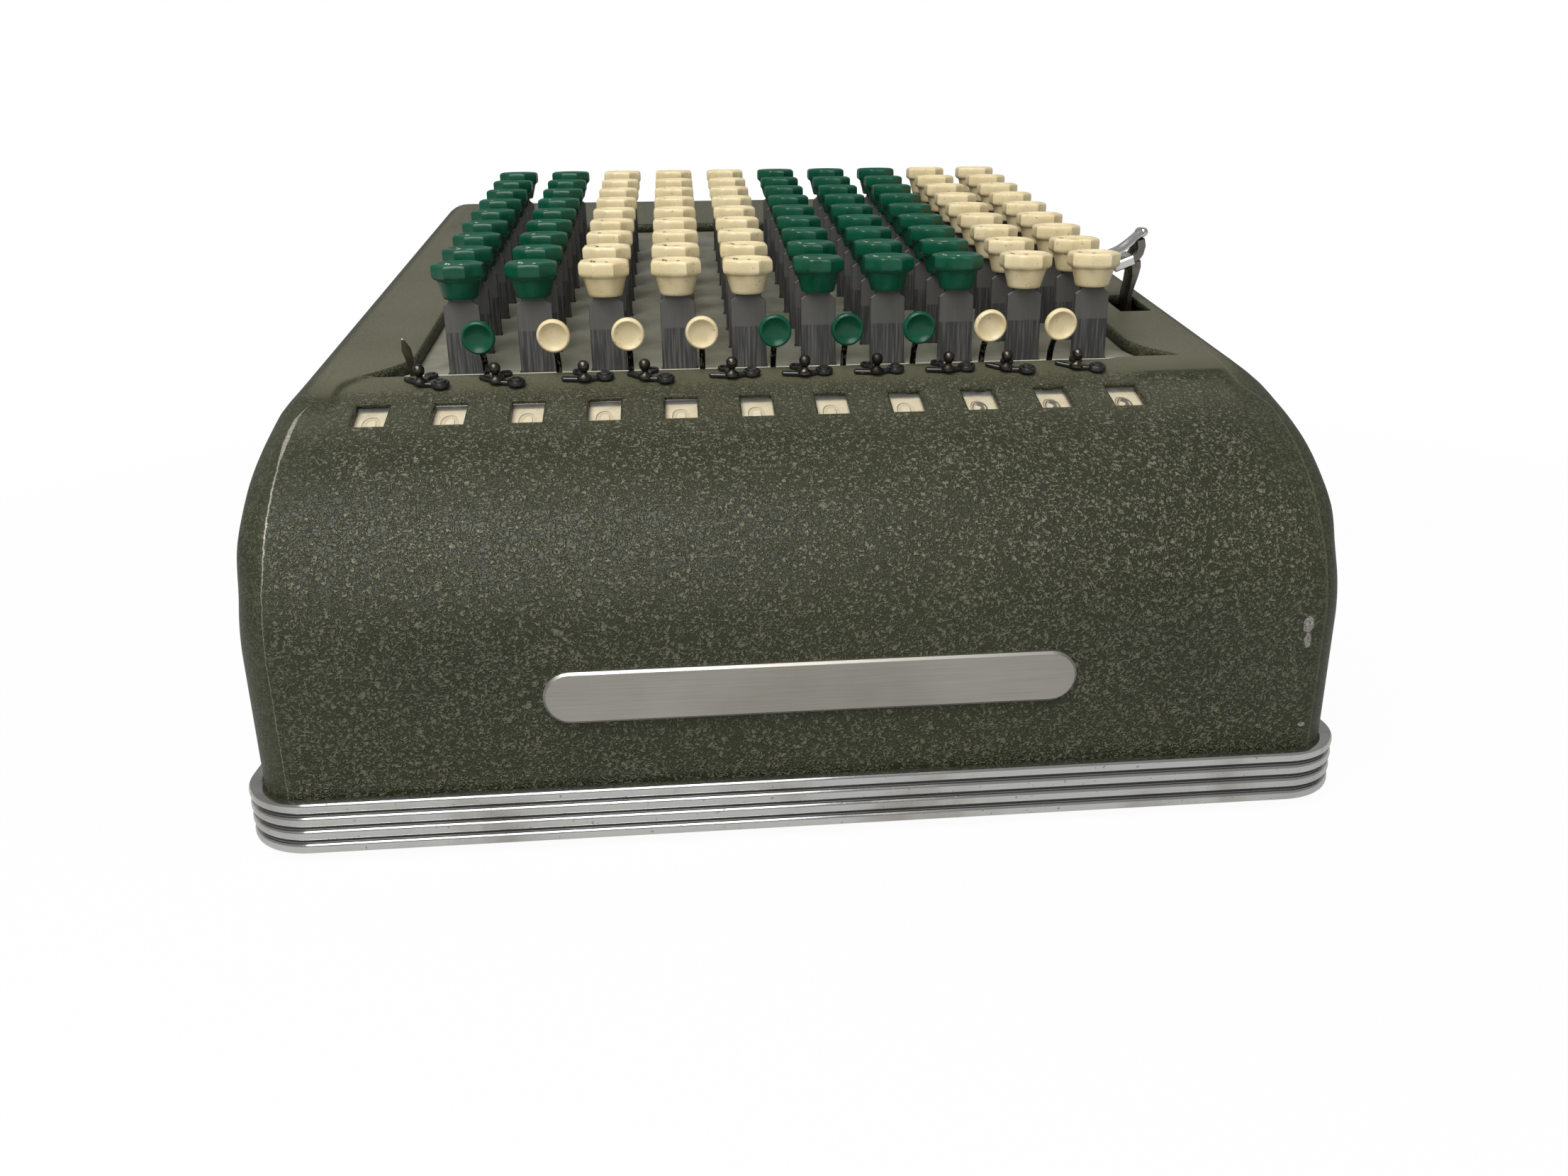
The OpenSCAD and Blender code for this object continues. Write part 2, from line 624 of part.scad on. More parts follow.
// Bank of levers under the key columns, on the rear shaft
module column_levers() {
    front = row1_y - lever_t;
    hub_r = lever_shaft_r + lever_hub_wall;
    color([0.5, 0.5, 0.47]) for (i = [0 : columns - 1])
        translate([column_x(i) - lever_t / 2, 0, 0]) rotate([90, 0, 90])
            linear_extrude(lever_t) difference() {
                union() {
                    translate([front, lever_shaft_z - lever_h / 2]) square([lever_shaft_y - front, lever_h]);
                    translate([lever_shaft_y, lever_shaft_z]) circle(hub_r);
                }
                translate([lever_shaft_y, lever_shaft_z]) circle(lever_shaft_r + shaft_gap);
            }
}

// Strip of glass under the row of windows
module window_glass() {
    long = columns * column_pitch + window_w + 2 * glass_margin;
    color([0.8, 0.85, 0.85]) on_panel(window_front, glass_r - glass_t / 2)
        translate([(window_x(0) + window_x(columns)) / 2, 0, 0])
            cube([long, window_l + 2 * glass_margin, glass_t], center = true);
}

// Ivory wheel with a broad rim, a web and a hub
module numeral_wheel(i) {
    rim = 3;
    web_t = 3;
    hub_r = shaft_r + rim;
    color([0.88, 0.82, 0.68]) translate([window_x(i), wheel_y, wheel_z]) rotate([0, 90, 0]) difference() {
        union() {
            difference() {
                cylinder(r = wheel_r, h = wheel_w, center = true, $fn = 64);
                cylinder(r = wheel_r - rim, h = wheel_w + cut, center = true, $fn = 64);
            }
            cylinder(r = wheel_r - rim + join, h = web_t, center = true, $fn = 64);
            cylinder(r = hub_r, h = wheel_w, center = true);
        }
        cylinder(r = shaft_r + shaft_gap, h = wheel_w + cut, center = true);
    }
}

// Pointers stand to the right of straight ahead in the third place and the fifth to the eighth
function pointer_angle(i) = i == 2 || (i > 3 && i < 8) ? pointer_turn : -pointer_turn;

// Black swivel lever: an eye on its pin in the casing, an arm to the ball-topped post,
// and from there a round button on the right and a tail on the left
module decimal_pointer(i) {
    arm_w = 2 * pin_r;
    color([0.05, 0.05, 0.05]) on_panel(pointer_front, panel_r + flat_gap) translate([pointer_x(i), 0, 0])
        rotate(pointer_angle(i)) {
            linear_extrude(pointer_t) {
                circle(d = pointer_eye_d);
                translate([-arm_w / 2, -pointer_l]) square([arm_w, pointer_l]);
                translate([0, -pointer_l]) {
                    circle(d = pointer_eye_d);
                    translate([0, -arm_w / 2]) square([pointer_arm, arm_w]);
                    rotate(-tail_rise) translate([-pointer_tail, -arm_w / 2]) square([pointer_tail, arm_w]);
                    rotate(-tail_rise) translate([-pointer_tail, 0]) circle(d = pointer_tip_d);
                }
            }
            translate([pointer_arm, -pointer_l, 0]) cylinder(d = pointer_button_d, h = pointer_button_h);
            translate([0, 0, -wall - flat_gap]) cylinder(r = pin_r, h = wall + flat_gap + pointer_t / 2);
            translate([0, -pointer_l, 0]) cylinder(r = pin_r, h = pointer_ball_h);
            translate([0, -pointer_l, pointer_ball_h]) sphere(d = pointer_ball_d);
        }
}

// Blade with a dished button, bent to the front above the casing, on the pivot rod
// The first has lost its button
module cutoff_tab(i) {
    dish_h = 0.6;
    dish_d = button_d - 2;
    foot_z = tab_rod_r + tab_gap + join;
    color(column_color(i)) on_slope()
        translate([column_x(i) + tab_x, tab_rod_v, tab_rod_w]) {
            rotate([0, 90, 0]) difference() {
                cylinder(r = tab_hub_r, h = tab_hub_w, center = true);
                cylinder(r = tab_rod_r + tab_gap, h = tab_hub_w + cut, center = true);
            }
            translate([-tab_t / 2, -tab_w / 2, foot_z]) cube([tab_t, tab_w, tab_bend_h - tab_rod_r]);
            translate([0, 0, tab_bend_h]) rotate([tab_lean, 0, 0]) {
                translate([-tab_t / 2, -tab_w / 2, 0]) cube([tab_t, tab_w, tab_len]);
                if (i > 0) translate([0, 0, tab_len]) rotate([90 - tab_lean, 0, 0]) difference() {
                    translate([0, 0, -button_t / 2]) cylinder(d = button_d, h = button_t);
                    translate([0, 0, button_t / 2 - dish_h]) cylinder(d = dish_d, h = cut);
                }
            }
        }
}

// Plated lever: hub, arm up through the shoulder, curved finger plate
module clear_lever() {
    arm_top = paddle_mid_w - sqrt(pow(paddle_r + paddle_t / 2, 2) - pow(clear_x - paddle_mid_x, 2)) - clear_w;
    far = 2 * paddle_r;
    color([0.85, 0.86, 0.88]) on_slope() {
        translate([clear_x, clear_v, clear_w]) {
            rotate([0, 90, 0]) difference() {
                cylinder(r = clear_hub_r, h = clear_arm_t, center = true);
                cylinder(r = clear_shaft_r + shaft_gap, h = clear_arm_t + cut, center = true);
            }
            translate([-clear_arm_t / 2, -clear_arm_w / 2, clear_hub_r - 2 * join])
                cube([clear_arm_t, clear_arm_w, arm_top - clear_hub_r + 2 * join]);
        }
        translate([paddle_mid_x, clear_v + paddle_l / 2, paddle_mid_w]) rotate([90, 0, 0])
            linear_extrude(paddle_l) difference() {
                circle(paddle_r + paddle_t);
                circle(paddle_r);
                translate([-far, 0]) square([2 * far, far]);
                rotate(-paddle_rise) square(far);
                translate([-far - paddle_lead, -far]) square([far, 2 * far]);
            }
    }
}

casing();
base_trim();
base_pan();
rubber_feet();
casing_screws();
left_side_frame();
right_side_frame();
tie_rods();
key_top_plate();
key_lower_guide();
key_springs();
column_levers();
lever_shaft();
numeral_shaft();
window_glass();
cutoff_pivot_rod();
clear_lever();
clear_pivot_shaft();
for (i = [0 : columns - 1]) key_column(i);
for (i = [0 : columns - 1]) cutoff_tab(i);
for (i = [0 : columns - 1])
    decimal_pointer(i);
for (i = [0 : columns])
    numeral_wheel(i);
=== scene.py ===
# Key-driven calculating machine: ten columns of nine keys, eleven numeral wheels, one clearing lever.
# Sizes are in millimetres in the CAD frame, front towards -Y; a mesh is scaled to metres as it is made.
from math import atan2, copysign, cos, degrees, hypot, pi, radians, sin, sqrt, tan

import bmesh
import bpy
from mathutils import Matrix, Vector


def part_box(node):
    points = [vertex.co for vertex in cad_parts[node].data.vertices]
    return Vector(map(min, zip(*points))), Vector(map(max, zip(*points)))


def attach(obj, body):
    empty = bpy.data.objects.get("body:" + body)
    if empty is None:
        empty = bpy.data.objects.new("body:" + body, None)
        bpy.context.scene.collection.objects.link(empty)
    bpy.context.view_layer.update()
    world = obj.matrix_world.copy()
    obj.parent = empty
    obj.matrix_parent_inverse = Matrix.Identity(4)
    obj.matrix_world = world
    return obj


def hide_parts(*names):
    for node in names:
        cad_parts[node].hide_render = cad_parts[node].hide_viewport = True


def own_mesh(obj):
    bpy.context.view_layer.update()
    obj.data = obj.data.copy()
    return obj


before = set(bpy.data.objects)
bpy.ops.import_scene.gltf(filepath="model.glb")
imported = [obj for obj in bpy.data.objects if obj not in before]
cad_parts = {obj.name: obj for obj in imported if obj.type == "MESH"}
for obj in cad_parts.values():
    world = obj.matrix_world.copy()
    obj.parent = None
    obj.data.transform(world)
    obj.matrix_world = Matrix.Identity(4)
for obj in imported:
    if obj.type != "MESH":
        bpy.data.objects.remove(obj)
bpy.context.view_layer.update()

# Rubber feet, base pan and casing screws.
# Four moulded rubber feet under a black stove-enamelled steel pan, which closes the bottom.
# Four plated screws pass up through the pan into posts in the casing.
METRE = 0.001


class Val:
    """A shader socket that can stand in a sum."""

    def __init__(self, finish, socket):
        self.finish, self.socket = finish, socket

    def sum(self, operation, *terms):
        return self.finish.node("Math", {"operation": operation}, dict(enumerate(terms)))

    def __add__(self, other):
        return self.sum("ADD", self, other)

    def __sub__(self, other):
        return self.sum("SUBTRACT", self, other)

    def __rsub__(self, other):
        return self.sum("SUBTRACT", other, self)

    def __mul__(self, other):
        return self.sum("MULTIPLY", self, other)

    def __abs__(self):
        return self.sum("ABSOLUTE", self)

    __radd__ = __add__
    __rmul__ = __mul__

    def span(self, low, high):
        """A smooth step from 0 at low to 1 at high."""
        return self.finish.node("MapRange", {"interpolation_type": "SMOOTHSTEP"}, {
            "Value": self, "From Min": low, "From Max": high})

    def blend(self, *pair):
        """One colour where this is 0, the other where it is 1; a plain colour is written as srgb takes it."""
        first, second = [c if isinstance(c, Val) else srgb(*c) for c in pair]
        return self.finish.node("Mix", {"data_type": "RGBA"}, {0: self, 6: first, 7: second}, 2)

    def bump(self, depth):
        return self.finish.node("Bump", {}, {"Height": self, "Distance": depth * METRE, "Strength": 1.0})


class Finish:
    """A procedural material, or the room's light: one shader and the nodes that feed it."""

    def __init__(self, name, store=bpy.data.materials, shader="Principled BSDF"):
        self.data = store.new(name)
        self.data.use_nodes = True
        self.tree = self.data.node_tree
        self.shader = self.tree.nodes[shader]
        self.place = self.node("TexCoord", out="Object")

    def fill(self, node, sockets):
        for key, value in sockets.items():
            if isinstance(value, Val):
                self.tree.links.new(value.socket, node.inputs[key])
            else:
                node.inputs[key].default_value = value

    def node(self, kind, settings={}, sockets={}, out=0):
        made = self.tree.nodes.new("ShaderNode" + kind)
        for key, value in settings.items():
            setattr(made, key, value)
        self.fill(made, sockets)
        return Val(self, made.outputs[out])

    def surface(self, sockets):
        self.fill(self.shader, sockets)

    def axis(self, number):
        return self.node("SeparateXYZ", {}, {0: self.place}, number)

    def noise(self, per_metre, detail=2.0, distortion=0.0, vector=None):
        return self.node("TexNoise", {}, {
            "Vector": vector or self.place, "Scale": per_metre, "Detail": detail, "Distortion": distortion})

    def streaks(self, scale, detail, distortion=0.0):
        """Noise drawn out into lines; scale is its grains to the metre along X, Y and Z."""
        drawn = self.node("VectorMath", {"operation": "MULTIPLY"}, {0: self.place, 1: scale})
        return self.noise(1.0, detail, distortion, drawn)

    def mark(self, name):
        return self.node("Attribute", {"attribute_name": name}, {}, "Fac")


def srgb(red, green, blue):
    """A colour as a picture shows it, 0 to 255, as the linear values that shaders take."""
    shares = (red / 255, green / 255, blue / 255)
    return (*[c / 12.92 if c <= 0.04 else ((c + 0.055) / 1.055) ** 2.4 for c in shares], 1.0)


def dress(finish, *nodes):
    """Puts a finish on CAD nodes that stay in the picture."""
    for name in nodes:
        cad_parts[name].data.materials.clear()
        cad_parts[name].data.materials.append(finish.data)


rubber = Finish("foot_rubber")
rubber_dust = rubber.noise(260, 4).span(0.45, 0.75)
rubber.surface({
    "Base Color": rubber_dust.blend((22, 22, 22), (64, 61, 56)),
    "Roughness": 0.7 + 0.2 * rubber_dust,
    "Normal": rubber.noise(1400, 2).bump(0.08)})
dress(rubber, "rubber_feet")

pan_enamel = Finish("pan_paint")
pan_scuff = pan_enamel.noise(90, 5, 0.6).span(0.56, 0.72)
pan_enamel.surface({
    "Base Color": pan_scuff.blend((30, 30, 29), (78, 76, 70)),
    "Roughness": 0.38 + 0.3 * pan_scuff,
    "Normal": pan_enamel.noise(900, 3).bump(0.05)})
dress(pan_enamel, "base_pan")


def steel_finish(name, clean, dull, roughness, along=(90, 1600, 1600)):
    """Bare or plated steel with tarnish in patches and fine drawing lines."""
    made = Finish(name)
    tarnish = made.noise(70, 5, 0.4).span(0.4, 0.68)
    lines = made.streaks(along, 3)
    made.surface({
        "Base Color": tarnish.blend(clean, dull),
        "Metallic": 1.0,
        "Roughness": roughness + 0.22 * tarnish + 0.1 * lines,
        "Normal": lines.bump(0.02)})
    return made


dress(steel_finish("screw_steel", (196, 194, 188), (120, 114, 104), 0.28), "casing_screws")

# Inner frame, rods, shafts and levers.
# Two pressed steel side frames on the pan, tied by turned rods; the column levers hang on the rear shaft.
# Plated against rust, dull where oil and dust have settled.
dress(
    steel_finish("frame_steel", (150, 147, 138), (92, 88, 80), 0.36),
    "left_side_frame", "right_side_frame", "tie_rods", "lever_shaft", "numeral_shaft", "cutoff_pivot_rod",
    "clear_pivot_shaft", "column_levers", "key_lower_guide")

# Numeral wheels behind the windows.
# Eleven moulded ivory wheels on one shaft, the figures 0 to 9 raised round the rim, each with a painted
# shadow along one edge.
# Each rests with the top of its 0 at the foot of its window; the last three carry a flat dark oval over the
# middle of the 0.
COLUMNS = 10
ROWS = 9
COLUMN_PITCH = 19.05
WHEEL_R = 19.6
WHEEL_W = 11.0
FONT_RISE = 0.7
scene = bpy.context.scene


class Shape:
    """Points and faces of one piece, in millimetres."""

    def __init__(self):
        self.points, self.faces = [], []

    def add(self, points, faces):
        base = len(self.points)
        self.points += [Vector(p) for p in points]
        self.faces += [tuple(base + k for k in face) for face in faces]

    def sheet(self, rows, loop=True, cap=True):
        """Joins rows of points, each as long as the last; loop closes every row and cap closes both ends."""
        width = len(rows[0])
        faces = []
        for r in range(len(rows) - 1):
            for k in range(width if loop else width - 1):
                a, b = r * width + k, r * width + (k + 1) % width
                faces.append((a, b, b + width, a + width))
        if cap:
            last = (len(rows) - 1) * width
            faces += [tuple(range(width))[::-1], tuple(range(last, last + width))]
        self.add([p for row in rows for p in row], faces)

    def turned(self, profile, place=Matrix(), segments=32, ripple=None):
        """Turns a profile of (radius, height, share of ripple) round the Z axis of a place."""
        rows = []
        for step in profile:
            radius, height, share = (*step, 0.0)[:3]
            row = []
            for k in range(segments):
                turn = 2 * pi * k / segments
                r = radius * (1 + share * ripple(turn)) if ripple else radius
                row.append(place @ Vector((r * cos(turn), r * sin(turn), height)))
            rows.append(row)
        self.sheet(rows)

    def slab(self, outline, low, high, place=Matrix(), chamfer=0.15):
        """A flat plate with its edges eased: an outline in XY drawn up from low to high."""
        inner = inset(outline, chamfer)
        levels = [(inner, low), (outline, low + chamfer), (outline, high - chamfer), (inner, high)]
        self.sheet([[place @ Vector((x, y, z)) for x, y in line] for line, z in levels])

    def swept(self, path, section, up, scale=None):
        """Draws a closed section along a path; the section's second axis stays near the up direction."""
        rows = []
        for k, point in enumerate(path):
            ahead = (path[min(k + 1, len(path) - 1)] - path[max(k - 1, 0)]).normalized()
            side = ahead.cross(up).normalized()
            rise = side.cross(ahead)
            grow = scale[k] if scale else (1.0, 1.0)
            rows.append([point + side * (a * grow[0]) + rise * (b * grow[1]) for a, b in section])
        self.sheet(rows)

    def piece(self, name, finish, body, slot, nodes=(), sharp=35, closed=True):
        mesh = bpy.data.meshes.new(name)
        mesh.from_pydata([p * METRE for p in self.points], [], self.faces)
        if closed:
            work = bmesh.new()
            work.from_mesh(mesh)
            bmesh.ops.recalc_face_normals(work, faces=work.faces)
            work.to_mesh(mesh)
            work.free()
        mesh.materials.append(finish.data)
        mesh.shade_smooth()
        mesh.set_sharp_from_angle(angle=radians(sharp))
        obj = bpy.data.objects.new(name, mesh)
        scene.collection.objects.link(obj)
        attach(obj, body)
        if nodes:
            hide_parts(*nodes)
        return obj


def inset(outline, depth):
    """The outline moved in by a depth, corner by corner."""
    turn = sum(a[0] * b[1] - a[1] * b[0] for a, b in zip(outline, outline[1:] + outline[:1]))
    sign = copysign(1.0, turn)
    moved = []
    for k, point in enumerate(outline):
        here = Vector(point)
        before = (here - Vector(outline[k - 1])).normalized()
        after = (Vector(outline[(k + 1) % len(outline)]) - here).normalized()
        inward = (before.orthogonal() + after.orthogonal()).normalized()
        reach = depth / max(0.4, inward.dot(after.orthogonal()))
        moved.append(here + inward * (sign * reach))
    return moved


def arc(mid, radius, start, end, steps):
    """Points along an arc, angles in degrees."""
    turns = [radians(start + (end - start) * k / steps) for k in range(steps + 1)]
    return [(mid[0] + radius * cos(t), mid[1] + radius * sin(t)) for t in turns]


def figure(text, height):
    """The points and faces of a printed figure, middle at the origin."""
    curve = bpy.data.curves.new("figure", "FONT")
    curve.body, curve.size, curve.align_x, curve.align_y = text, height / FONT_RISE, "CENTER", "CENTER"
    curve.resolution_u = 4
    made = bpy.data.objects.new("figure", curve)
    scene.collection.objects.link(made)
    bpy.context.view_layer.update()
    mesh = made.to_mesh()
    points = [v.co.copy() for v in mesh.vertices]
    faces = [tuple(p.vertices) for p in mesh.polygons]
    made.to_mesh_clear()
    bpy.data.objects.remove(made)
    middle = (max(p.y for p in points) + min(p.y for p in points)) / 2
    return [Vector((p.x, p.y - middle, 0)) for p in points], faces


def middle_of(node):
    low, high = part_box(node)
    return (Vector(low) + Vector(high)) / 2 / METRE


def turned_to(spot, angle, axis):
    """A place at a spot, turned by degrees round an axis."""
    return Matrix.Translation(spot) @ Matrix.Rotation(radians(angle), 4, axis)


ivory = Finish("wheel_ivory")
ivory_age = ivory.noise(140, 5, 0.5).span(0.35, 0.75)
ivory_rub = ivory.streaks((500, 900, 900), 3, 0.2)
ivory.surface({
    "Base Color": ivory_age.blend((206, 194, 164), (188, 173, 140)),
    "Roughness": 0.5 + 0.16 * ivory_rub,
    "Coat Weight": 0.1 - 0.1 * ivory_age,
    "Normal": ivory_rub.bump(0.01)})


def ink(name, first, second, grain, detail, rough, more, rough_grain):
    """A thin mark in two mixed tones."""
    made = Finish(name)
    made.surface({
        "Base Color": made.noise(grain, detail).blend(first, second),
        "Roughness": rough + more * made.noise(rough_grain)})
    return made


wheel_ink = ink("wheel_figures", (196, 182, 150), (178, 162, 126), 700, 4, 0.45, 0.15, 500)
wheel_dark_oval = ink("wheel_figure_dark_oval", (40, 36, 30), (84, 70, 48), 500, 4, 0.6, 0.2, 400)
wheel_shade = ink("wheel_figure_painted_shadow", (92, 80, 56), (124, 108, 76), 700, 4, 0.6, 0.2, 500)

FIGURE_H = 7.0
RIM_EASE = 0.5
HUB_R, BORE_R, RIM_T, WEB_HALF = 6.0, 3.2, 3.0, 1.5
WINDOW_TILT = 26.2
ZERO_LOW = 1.0
SHADOW_SHIFT = 0.4
SHADOW_LIFT, FIGURE_LIFT, OVAL_LIFT = 0.03, 0.06, 0.12
SHADOW_ASIDE = 0.5
DARK_OVALS, OVAL_R, OVAL_TALL, OVAL_STEPS = 3, 2.0, 1.6, 24
FIGURES = 10
figures = [figure(str(n), FIGURE_H) for n in range(FIGURES)]
zero_turn = radians(WINDOW_TILT) + ZERO_LOW / WHEEL_R
half, inner_r = WHEEL_W / 2, WHEEL_R - RIM_T
wheel_profile = [
    (BORE_R, -half), (HUB_R, -half), (HUB_R, -WEB_HALF), (inner_r, -WEB_HALF), (inner_r, -half),
    (WHEEL_R - RIM_EASE, -half), (WHEEL_R, -half + RIM_EASE), (WHEEL_R, half - RIM_EASE),
    (WHEEL_R - RIM_EASE, half), (inner_r, half), (inner_r, WEB_HALF), (HUB_R, WEB_HALF), (HUB_R, half),
    (BORE_R, half)]


def wrapped(points, wheel_mid, start, lift, shift=0.0):
    """Points of a flat figure laid round a wheel's rim."""
    reach = WHEEL_R + lift
    laid = []
    for p in points:
        turn = start - (p.y + shift) / WHEEL_R
        laid.append(wheel_mid + Vector((p.x - shift * SHADOW_ASIDE, -reach * sin(turn), reach * cos(turn))))
    return laid


for number in range(COLUMNS + 1):
    wheel_name = f"numeral_wheel_{number + 1:02d}"
    wheel_mid = middle_of(wheel_name)
    wheel = Shape()
    wheel.turned(wheel_profile, turned_to(wheel_mid, 90, "Y"), 80)
    wheel.piece(wheel_name + "_rim", ivory, wheel_name, "wheel_ivory", [wheel_name])
    # Each figure gets a painted shadow: a darker copy laid just under it, shifted a little round the rim and
    # to one side.
    relief, figure_shadows = Shape(), Shape()
    for n, (points, faces) in enumerate(figures):
        start = zero_turn - radians(360 / FIGURES) * n
        relief.add(wrapped(points, wheel_mid, start, FIGURE_LIFT), faces)
        figure_shadows.add(wrapped(points, wheel_mid, start, SHADOW_LIFT, SHADOW_SHIFT), faces)
    relief.piece(wheel_name + "_figures", wheel_ink, wheel_name, "wheel_ivory", closed=False)
    # A flat dark oval over the middle of the 0 on the last three wheels.
    if number > COLUMNS - DARK_OVALS:
        dark_oval = Shape()
        ring = arc((0, 0), OVAL_R, 0, 360 - 360 / OVAL_STEPS, OVAL_STEPS - 1)
        oval = [Vector((x, y * OVAL_TALL, 0)) for x, y in ring]
        dark_oval.add(wrapped(oval, wheel_mid, zero_turn, OVAL_LIFT), [range(OVAL_STEPS)])
        dark_oval.piece(wheel_name + "_dark_oval", wheel_dark_oval, wheel_name, "wheel_ivory", closed=False)
    figure_shadows.piece(wheel_name + "_figure_painted_shadows", wheel_shade, wheel_name, "wheel_ivory", closed=False)

# Keyboard plate.
# A flat steel plate just under the casing's top, punched with one slot for each stem.
# It is bare steel, dulled and dusty between the stems, bright along its front edge where it rubs.
plate_steel = Finish("plate_steel")
plate_dust = plate_steel.noise(60, 5, 0.3).span(0.35, 0.7)
plate_lines = plate_steel.streaks((60, 1500, 1500), 3)
RUBBED_TO, DULL_FROM = -0.0856, -0.0850
plate_bright = 1 - plate_steel.axis(1).span(RUBBED_TO, DULL_FROM)
plate_dull = plate_dust.blend((146, 146, 130), (116, 114, 99))
plate_steel.surface({
    "Base Color": plate_bright.blend(plate_dull, (214, 210, 196)),
    "Metallic": 0.35,
    "Roughness": 0.36 + 0.25 * plate_dust + 0.1 * plate_lines,
    "Normal": plate_lines.bump(0.02)})
dress(plate_steel, "key_top_plate")

# Keys.
# Moulded caps, columns in green and cream, each with a scalloped head, a dished top and two engraved figures.
# Each is pressed on a flat steel stem, which slides in the plate over a coil spring on the lower guide.
SLOPE = radians(10)
ROW1 = Vector((0.0, -84.0, 128.8))
ROW_PITCH = 18.0
KEYBOARD_X = 1.0
CAP_H = 9.2
STEM_W = 9.4
STEM_T = 1.6
TONGUE_W = 3.6
NECK_CUT, NECK_LOW, NECK_HIGH, NECK_IN = 1.5, 1.9, 0.8, 2
STEM_SHOULDER_Z = 86.5
GREEN_COLUMNS = (0, 1, 5, 6, 7)
CAP_TILT = 3.5


def on_slope(x, v, w):
    """A point across the keyboard, along its slope from the first row, and square to it from the key tops."""
    c, s = cos(SLOPE), sin(SLOPE)
    return Vector((x, ROW1.y + v * c - w * s, ROW1.z + v * s + w * c))


def column_x(i):
    return KEYBOARD_X + (i - (COLUMNS - 1) / 2) * COLUMN_PITCH


def plastic(name, clean, faded, grime):
    """Moulded key plastic: mottled by age and specked with grime, glossy where fingers polish it."""
    made = Finish(name)
    age = made.noise(120, 5, 0.8).span(0.3, 0.75)
    specks = made.noise(900, 4).span(0.62, 0.74)
    made.surface({
        "Base Color": (0.55 * specks).blend(age.blend(clean, faded), grime),
        "Roughness": 0.26 + 0.14 * age + 0.2 * specks,
        "Specular IOR Level": 0.35,
        "Coat Weight": 0.12 - 0.08 * age,
        "Normal": made.noise(420, 3, 0.4).bump(0.03)})
    return made


green_plastic = plastic("green_plastic", (0, 70, 47), (6, 80, 57), (2, 34, 26))
cream_plastic = plastic("cream_plastic", (228, 212, 172), (214, 195, 150), (128, 106, 70))
key_ink = ink("key_figures", (20, 20, 20), (58, 54, 46), 900, 3, 0.6, 0.2, 600)
key_ink_pale = ink("key_figures_pale", (206, 204, 188), (150, 152, 138), 900, 3, 0.6, 0.2, 600)
key_looks = [("cream_plastic", cream_plastic, key_ink), ("green_plastic", green_plastic, key_ink_pale)]

SLIDE_LOW, SLIDE_HIGH = 125.6, 125.9
stem_steel = Finish("stem_steel")
stem_lines = stem_steel.streaks((2600, 2600, 90), 3, 0.3)
stem_patch = stem_steel.noise(160, 4, 0.4)
stem_level = stem_steel.axis(2) - tan(SLOPE) * stem_steel.axis(1)
stem_low = 1 - stem_level.span(SLIDE_LOW * METRE, SLIDE_HIGH * METRE)
stem_rub = stem_lines.span(0.4, 0.72) * (0.25 + 0.55 * stem_low)
stem_upper = stem_patch.blend((80, 80, 77), (98, 97, 93))
stem_steel.surface({
    "Base Color": stem_rub.blend(stem_low.blend(stem_upper, (60, 60, 58)), (104, 103, 99)),
    "Metallic": 0.45,
    "Roughness": 0.42 + 0.16 * stem_lines,
    "Normal": stem_lines.bump(0.012)})

HEAD_R = 6.45
SCALLOP = 0.11
CAP_PROFILE = [
    (1.4, -0.8), (2.8, -0.72), (4.0, -0.56), (4.7, -0.34), (5.05, -0.14), (5.35, -0.02, 0.15),
    (5.72, 0.0, 0.35), (6.05, -0.1, 0.6), (6.3, -0.34, 0.85), (6.4, -0.7, 1.0), (HEAD_R, -1.3, 1.0),
    (HEAD_R, -2.8, 1.0), (6.38, -3.4, 1.0), (6.2, -3.85, 0.7), (5.98, -4.1, 0.35), (5.8, -4.25, 0.1),
    (5.7, -4.5), (5.4, -5.6), (5.0, -7.0), (4.65, -8.4), (4.5, -8.9), (4.25, -9.15), (3.6, -CAP_H)]


def scallop(turn):
    """Eight shallow flutes between sharp ridges."""
    return SCALLOP * (1 - abs(cos(4 * turn)))


def dish_level(radius):
    """Height of the cap's dish at a radius."""
    steps = CAP_PROFILE[:6]
    for low, high in zip(steps, steps[1:]):
        if radius <= high[0]:
            share = max(0.0, (radius - low[0]) / (high[0] - low[0]))
            return low[1] + (high[1] - low[1]) * share
    return steps[-1][1]


LARGE_H, LARGE_AT = 5.6, (0.6, -0.3)
SMALL_H, SMALL_AT = 2.2, (-3.0, 2.0)
PRINT_LIFT = 0.04
large_figures = [figure(str(n), LARGE_H) for n in range(1, ROWS + 1)]
small_figures = [figure(str(n), SMALL_H) for n in reversed(range(ROWS))]
foot_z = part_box("key_column_01")[0][2] / METRE
SPRING_LOW, SPRING_H, SPRING_R, WIRE_R = 74.5, 11.9, 2.4, 0.16
SPRING_TURNS, SPRING_STEPS, SPRING_KEPT = 6, 16, 0.31
spring_steel = Finish("spring_steel")
spring_dull = spring_steel.noise(900, 3, 0.5).span(0.4, 0.65)
spring_steel.surface({
    "Base Color": spring_dull.blend((176, 174, 168), (104, 100, 94)),
    "Metallic": 1.0,
    "Roughness": 0.3 + 0.25 * spring_dull})
wire_section = arc((0, 0), WIRE_R, 0, 288, 4)
wire_steps = SPRING_TURNS * SPRING_STEPS
half, tongue, neck = STEM_W / 2, TONGUE_W / 2, STEM_W / 2 - NECK_CUT


def coil(foot):
    """The line of a key spring's wire, from its foot up."""
    line = []
    for k in range(wire_steps + 1):
        turn = 2 * pi * k / SPRING_STEPS
        up = WIRE_R + (SPRING_H - 2 * WIRE_R) * k / wire_steps
        line.append(foot + Vector((SPRING_R * cos(turn), SPRING_R * sin(turn), up)))
    return line


